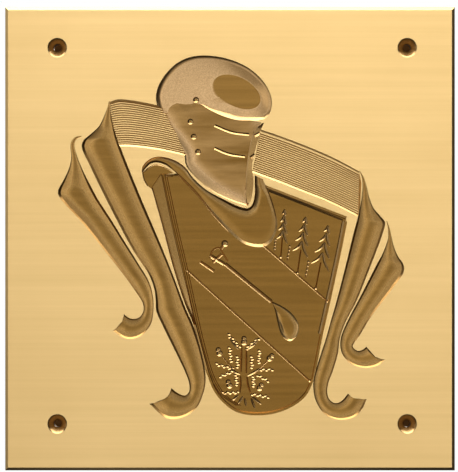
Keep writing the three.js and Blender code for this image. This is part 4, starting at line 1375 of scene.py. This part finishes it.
# Floor, light and camera
# The plate hangs well above a pale floor, under soft lights, with white cards in front and at the sides.
# A card behind it closes the screw holes, as a wall would, and shows from the front alone. Its dark brown is
# painted shade for the holes' insides.
# The camera looks straight at the face through the gap between the white cards.
IMAGE_SIZE = (458, 472)
PIXEL = 0.4 * MM
PLATE_MIDDLE_PIXEL = (230.0, 238.75)
CAMERA_DISTANCE = 1.2
FLOOR_SIZE = 8.0
FLOOR_DROP = 0.7
FLOOR_TONES = ((0.78, 0.77, 0.75), (0.82, 0.81, 0.79))
HOLE_SHADE_TONES = ((0.2, 0.1, 0.03), (0.28, 0.15, 0.05))
CARD_INSET = 12
CARD_GAP = 0.5
CLOUDS = (3, 3, 3)
MATT = 0.9
STUDIO_DIM = 0.02
# Each soft light: its place, its width and height, and how bright its face is
SOFT_LIGHTS = {
    "overhead": ((-0.16, -0.2, 0.8), (1.4, 0.9), 6.6),
    "overhead right": ((0.62, -0.1, 0.8), (0.36, 0.5), 6.0),
    "upper card": ((0.0, -1.0, 0.67), (1.4, 0.5), 0.4),
    "front card": ((0.0, -1.5, 0.28), (1.6, 0.56), 1.0),
    "front low": ((0.0, -1.5, -0.28), (1.6, 0.56), 0.75),
    "low card": ((0.0, -0.85, -0.5), (1.4, 0.5), 0.6),
    "left card": ((-0.75, -0.75, 0.0), (0.5, 0.8), 1.6),
    "right card": ((0.55, -1.3, -0.1), (0.6, 0.8), 0.6),
    "left side": ((-1.0, 0.0, 0.1), (0.5, 0.5), 0.8),
    "behind": ((0.4, 1.2, 0.6), (0.8, 0.8), 3.0),
}


def matt_sheet(name, corners, tones):
    """A flat, faintly clouded sheet of the studio, with its tree and its shader."""
    mesh = bpy.data.meshes.new(name)
    mesh.from_pydata(corners, [], [(0, 1, 2, 3)])
    made = bpy.data.materials.new("matt " + name)
    made.use_nodes = True
    tree = made.node_tree
    shader = tree.nodes["Principled BSDF"]
    tone = tinted(tree, drawn_out(tree, CLOUDS, GRAIN_DETAIL), *tones)
    tree.links.new(tone, shader.inputs["Base Color"])
    shader.inputs["Roughness"].default_value = MATT
    mesh.materials.append(made)
    sheet = placed(name, mesh)
    sheet.visible_glossy = False
    return sheet, tree, shader


half_floor = FLOOR_SIZE / 2
signs = ((-1, -1), (1, -1), (1, 1), (-1, 1))
floor_corners = [(half_floor * x, half_floor * y, -FLOOR_DROP) for x, y in signs]
floor, _, _ = matt_sheet("floor", floor_corners, FLOOR_TONES)

# The card's dark brown paints the shade deep inside the screw holes
card_corners = [point * MM for point in plate_ring(CARD_INSET, CARD_GAP)]
card, tree, shader = matt_sheet("card", card_corners, HOLE_SHADE_TONES)
behind = node(tree, "ShaderNodeNewGeometry").outputs["Backfacing"]
tree.links.new(sums(tree, "SUBTRACT", 1.0, behind), shader.inputs["Alpha"])
card.visible_diffuse = False
card.visible_shadow = False

for name, (place, size, brightness) in SOFT_LIGHTS.items():
    lamp = bpy.data.lights.new(name, "AREA")
    lamp.shape = "RECTANGLE"
    lamp.size, lamp.size_y = size
    lamp.energy = brightness * math.pi * lamp.size * lamp.size_y
    hung = placed(name, lamp)
    hung.location = place
    hung.rotation_euler = (-Vector(place)).to_track_quat("-Z", "Y").to_euler()

world = bpy.data.worlds.new("studio")
world.use_nodes = True
bpy.context.scene.world = world
tree = world.node_tree
seen = node(tree, "ShaderNodeLightPath").outputs["Is Camera Ray"]
strength = node(tree, "ShaderNodeMapRange", {"Value": seen, "To Min": STUDIO_DIM, "To Max": 1.0})
background = tree.nodes["Background"]
background.inputs["Color"].default_value = (1, 1, 1, 1)
tree.links.new(strength.outputs["Result"], background.inputs["Strength"])

camera_data = bpy.data.cameras.new("camera")
camera = placed("camera", camera_data)
view_height = IMAGE_SIZE[1] * PIXEL
camera_data.lens = camera_data.sensor_width * (CAMERA_DISTANCE + plate_low.y) / view_height
camera.location = (
    (IMAGE_SIZE[0] / 2 - PLATE_MIDDLE_PIXEL[0]) * PIXEL,
    -CAMERA_DISTANCE,
    (PLATE_MIDDLE_PIXEL[1] - IMAGE_SIZE[1] / 2) * PIXEL,
)
camera.rotation_euler = (math.pi / 2, 0, 0)
bpy.context.scene.camera = camera
bpy.context.scene.view_settings.view_transform = "Standard"
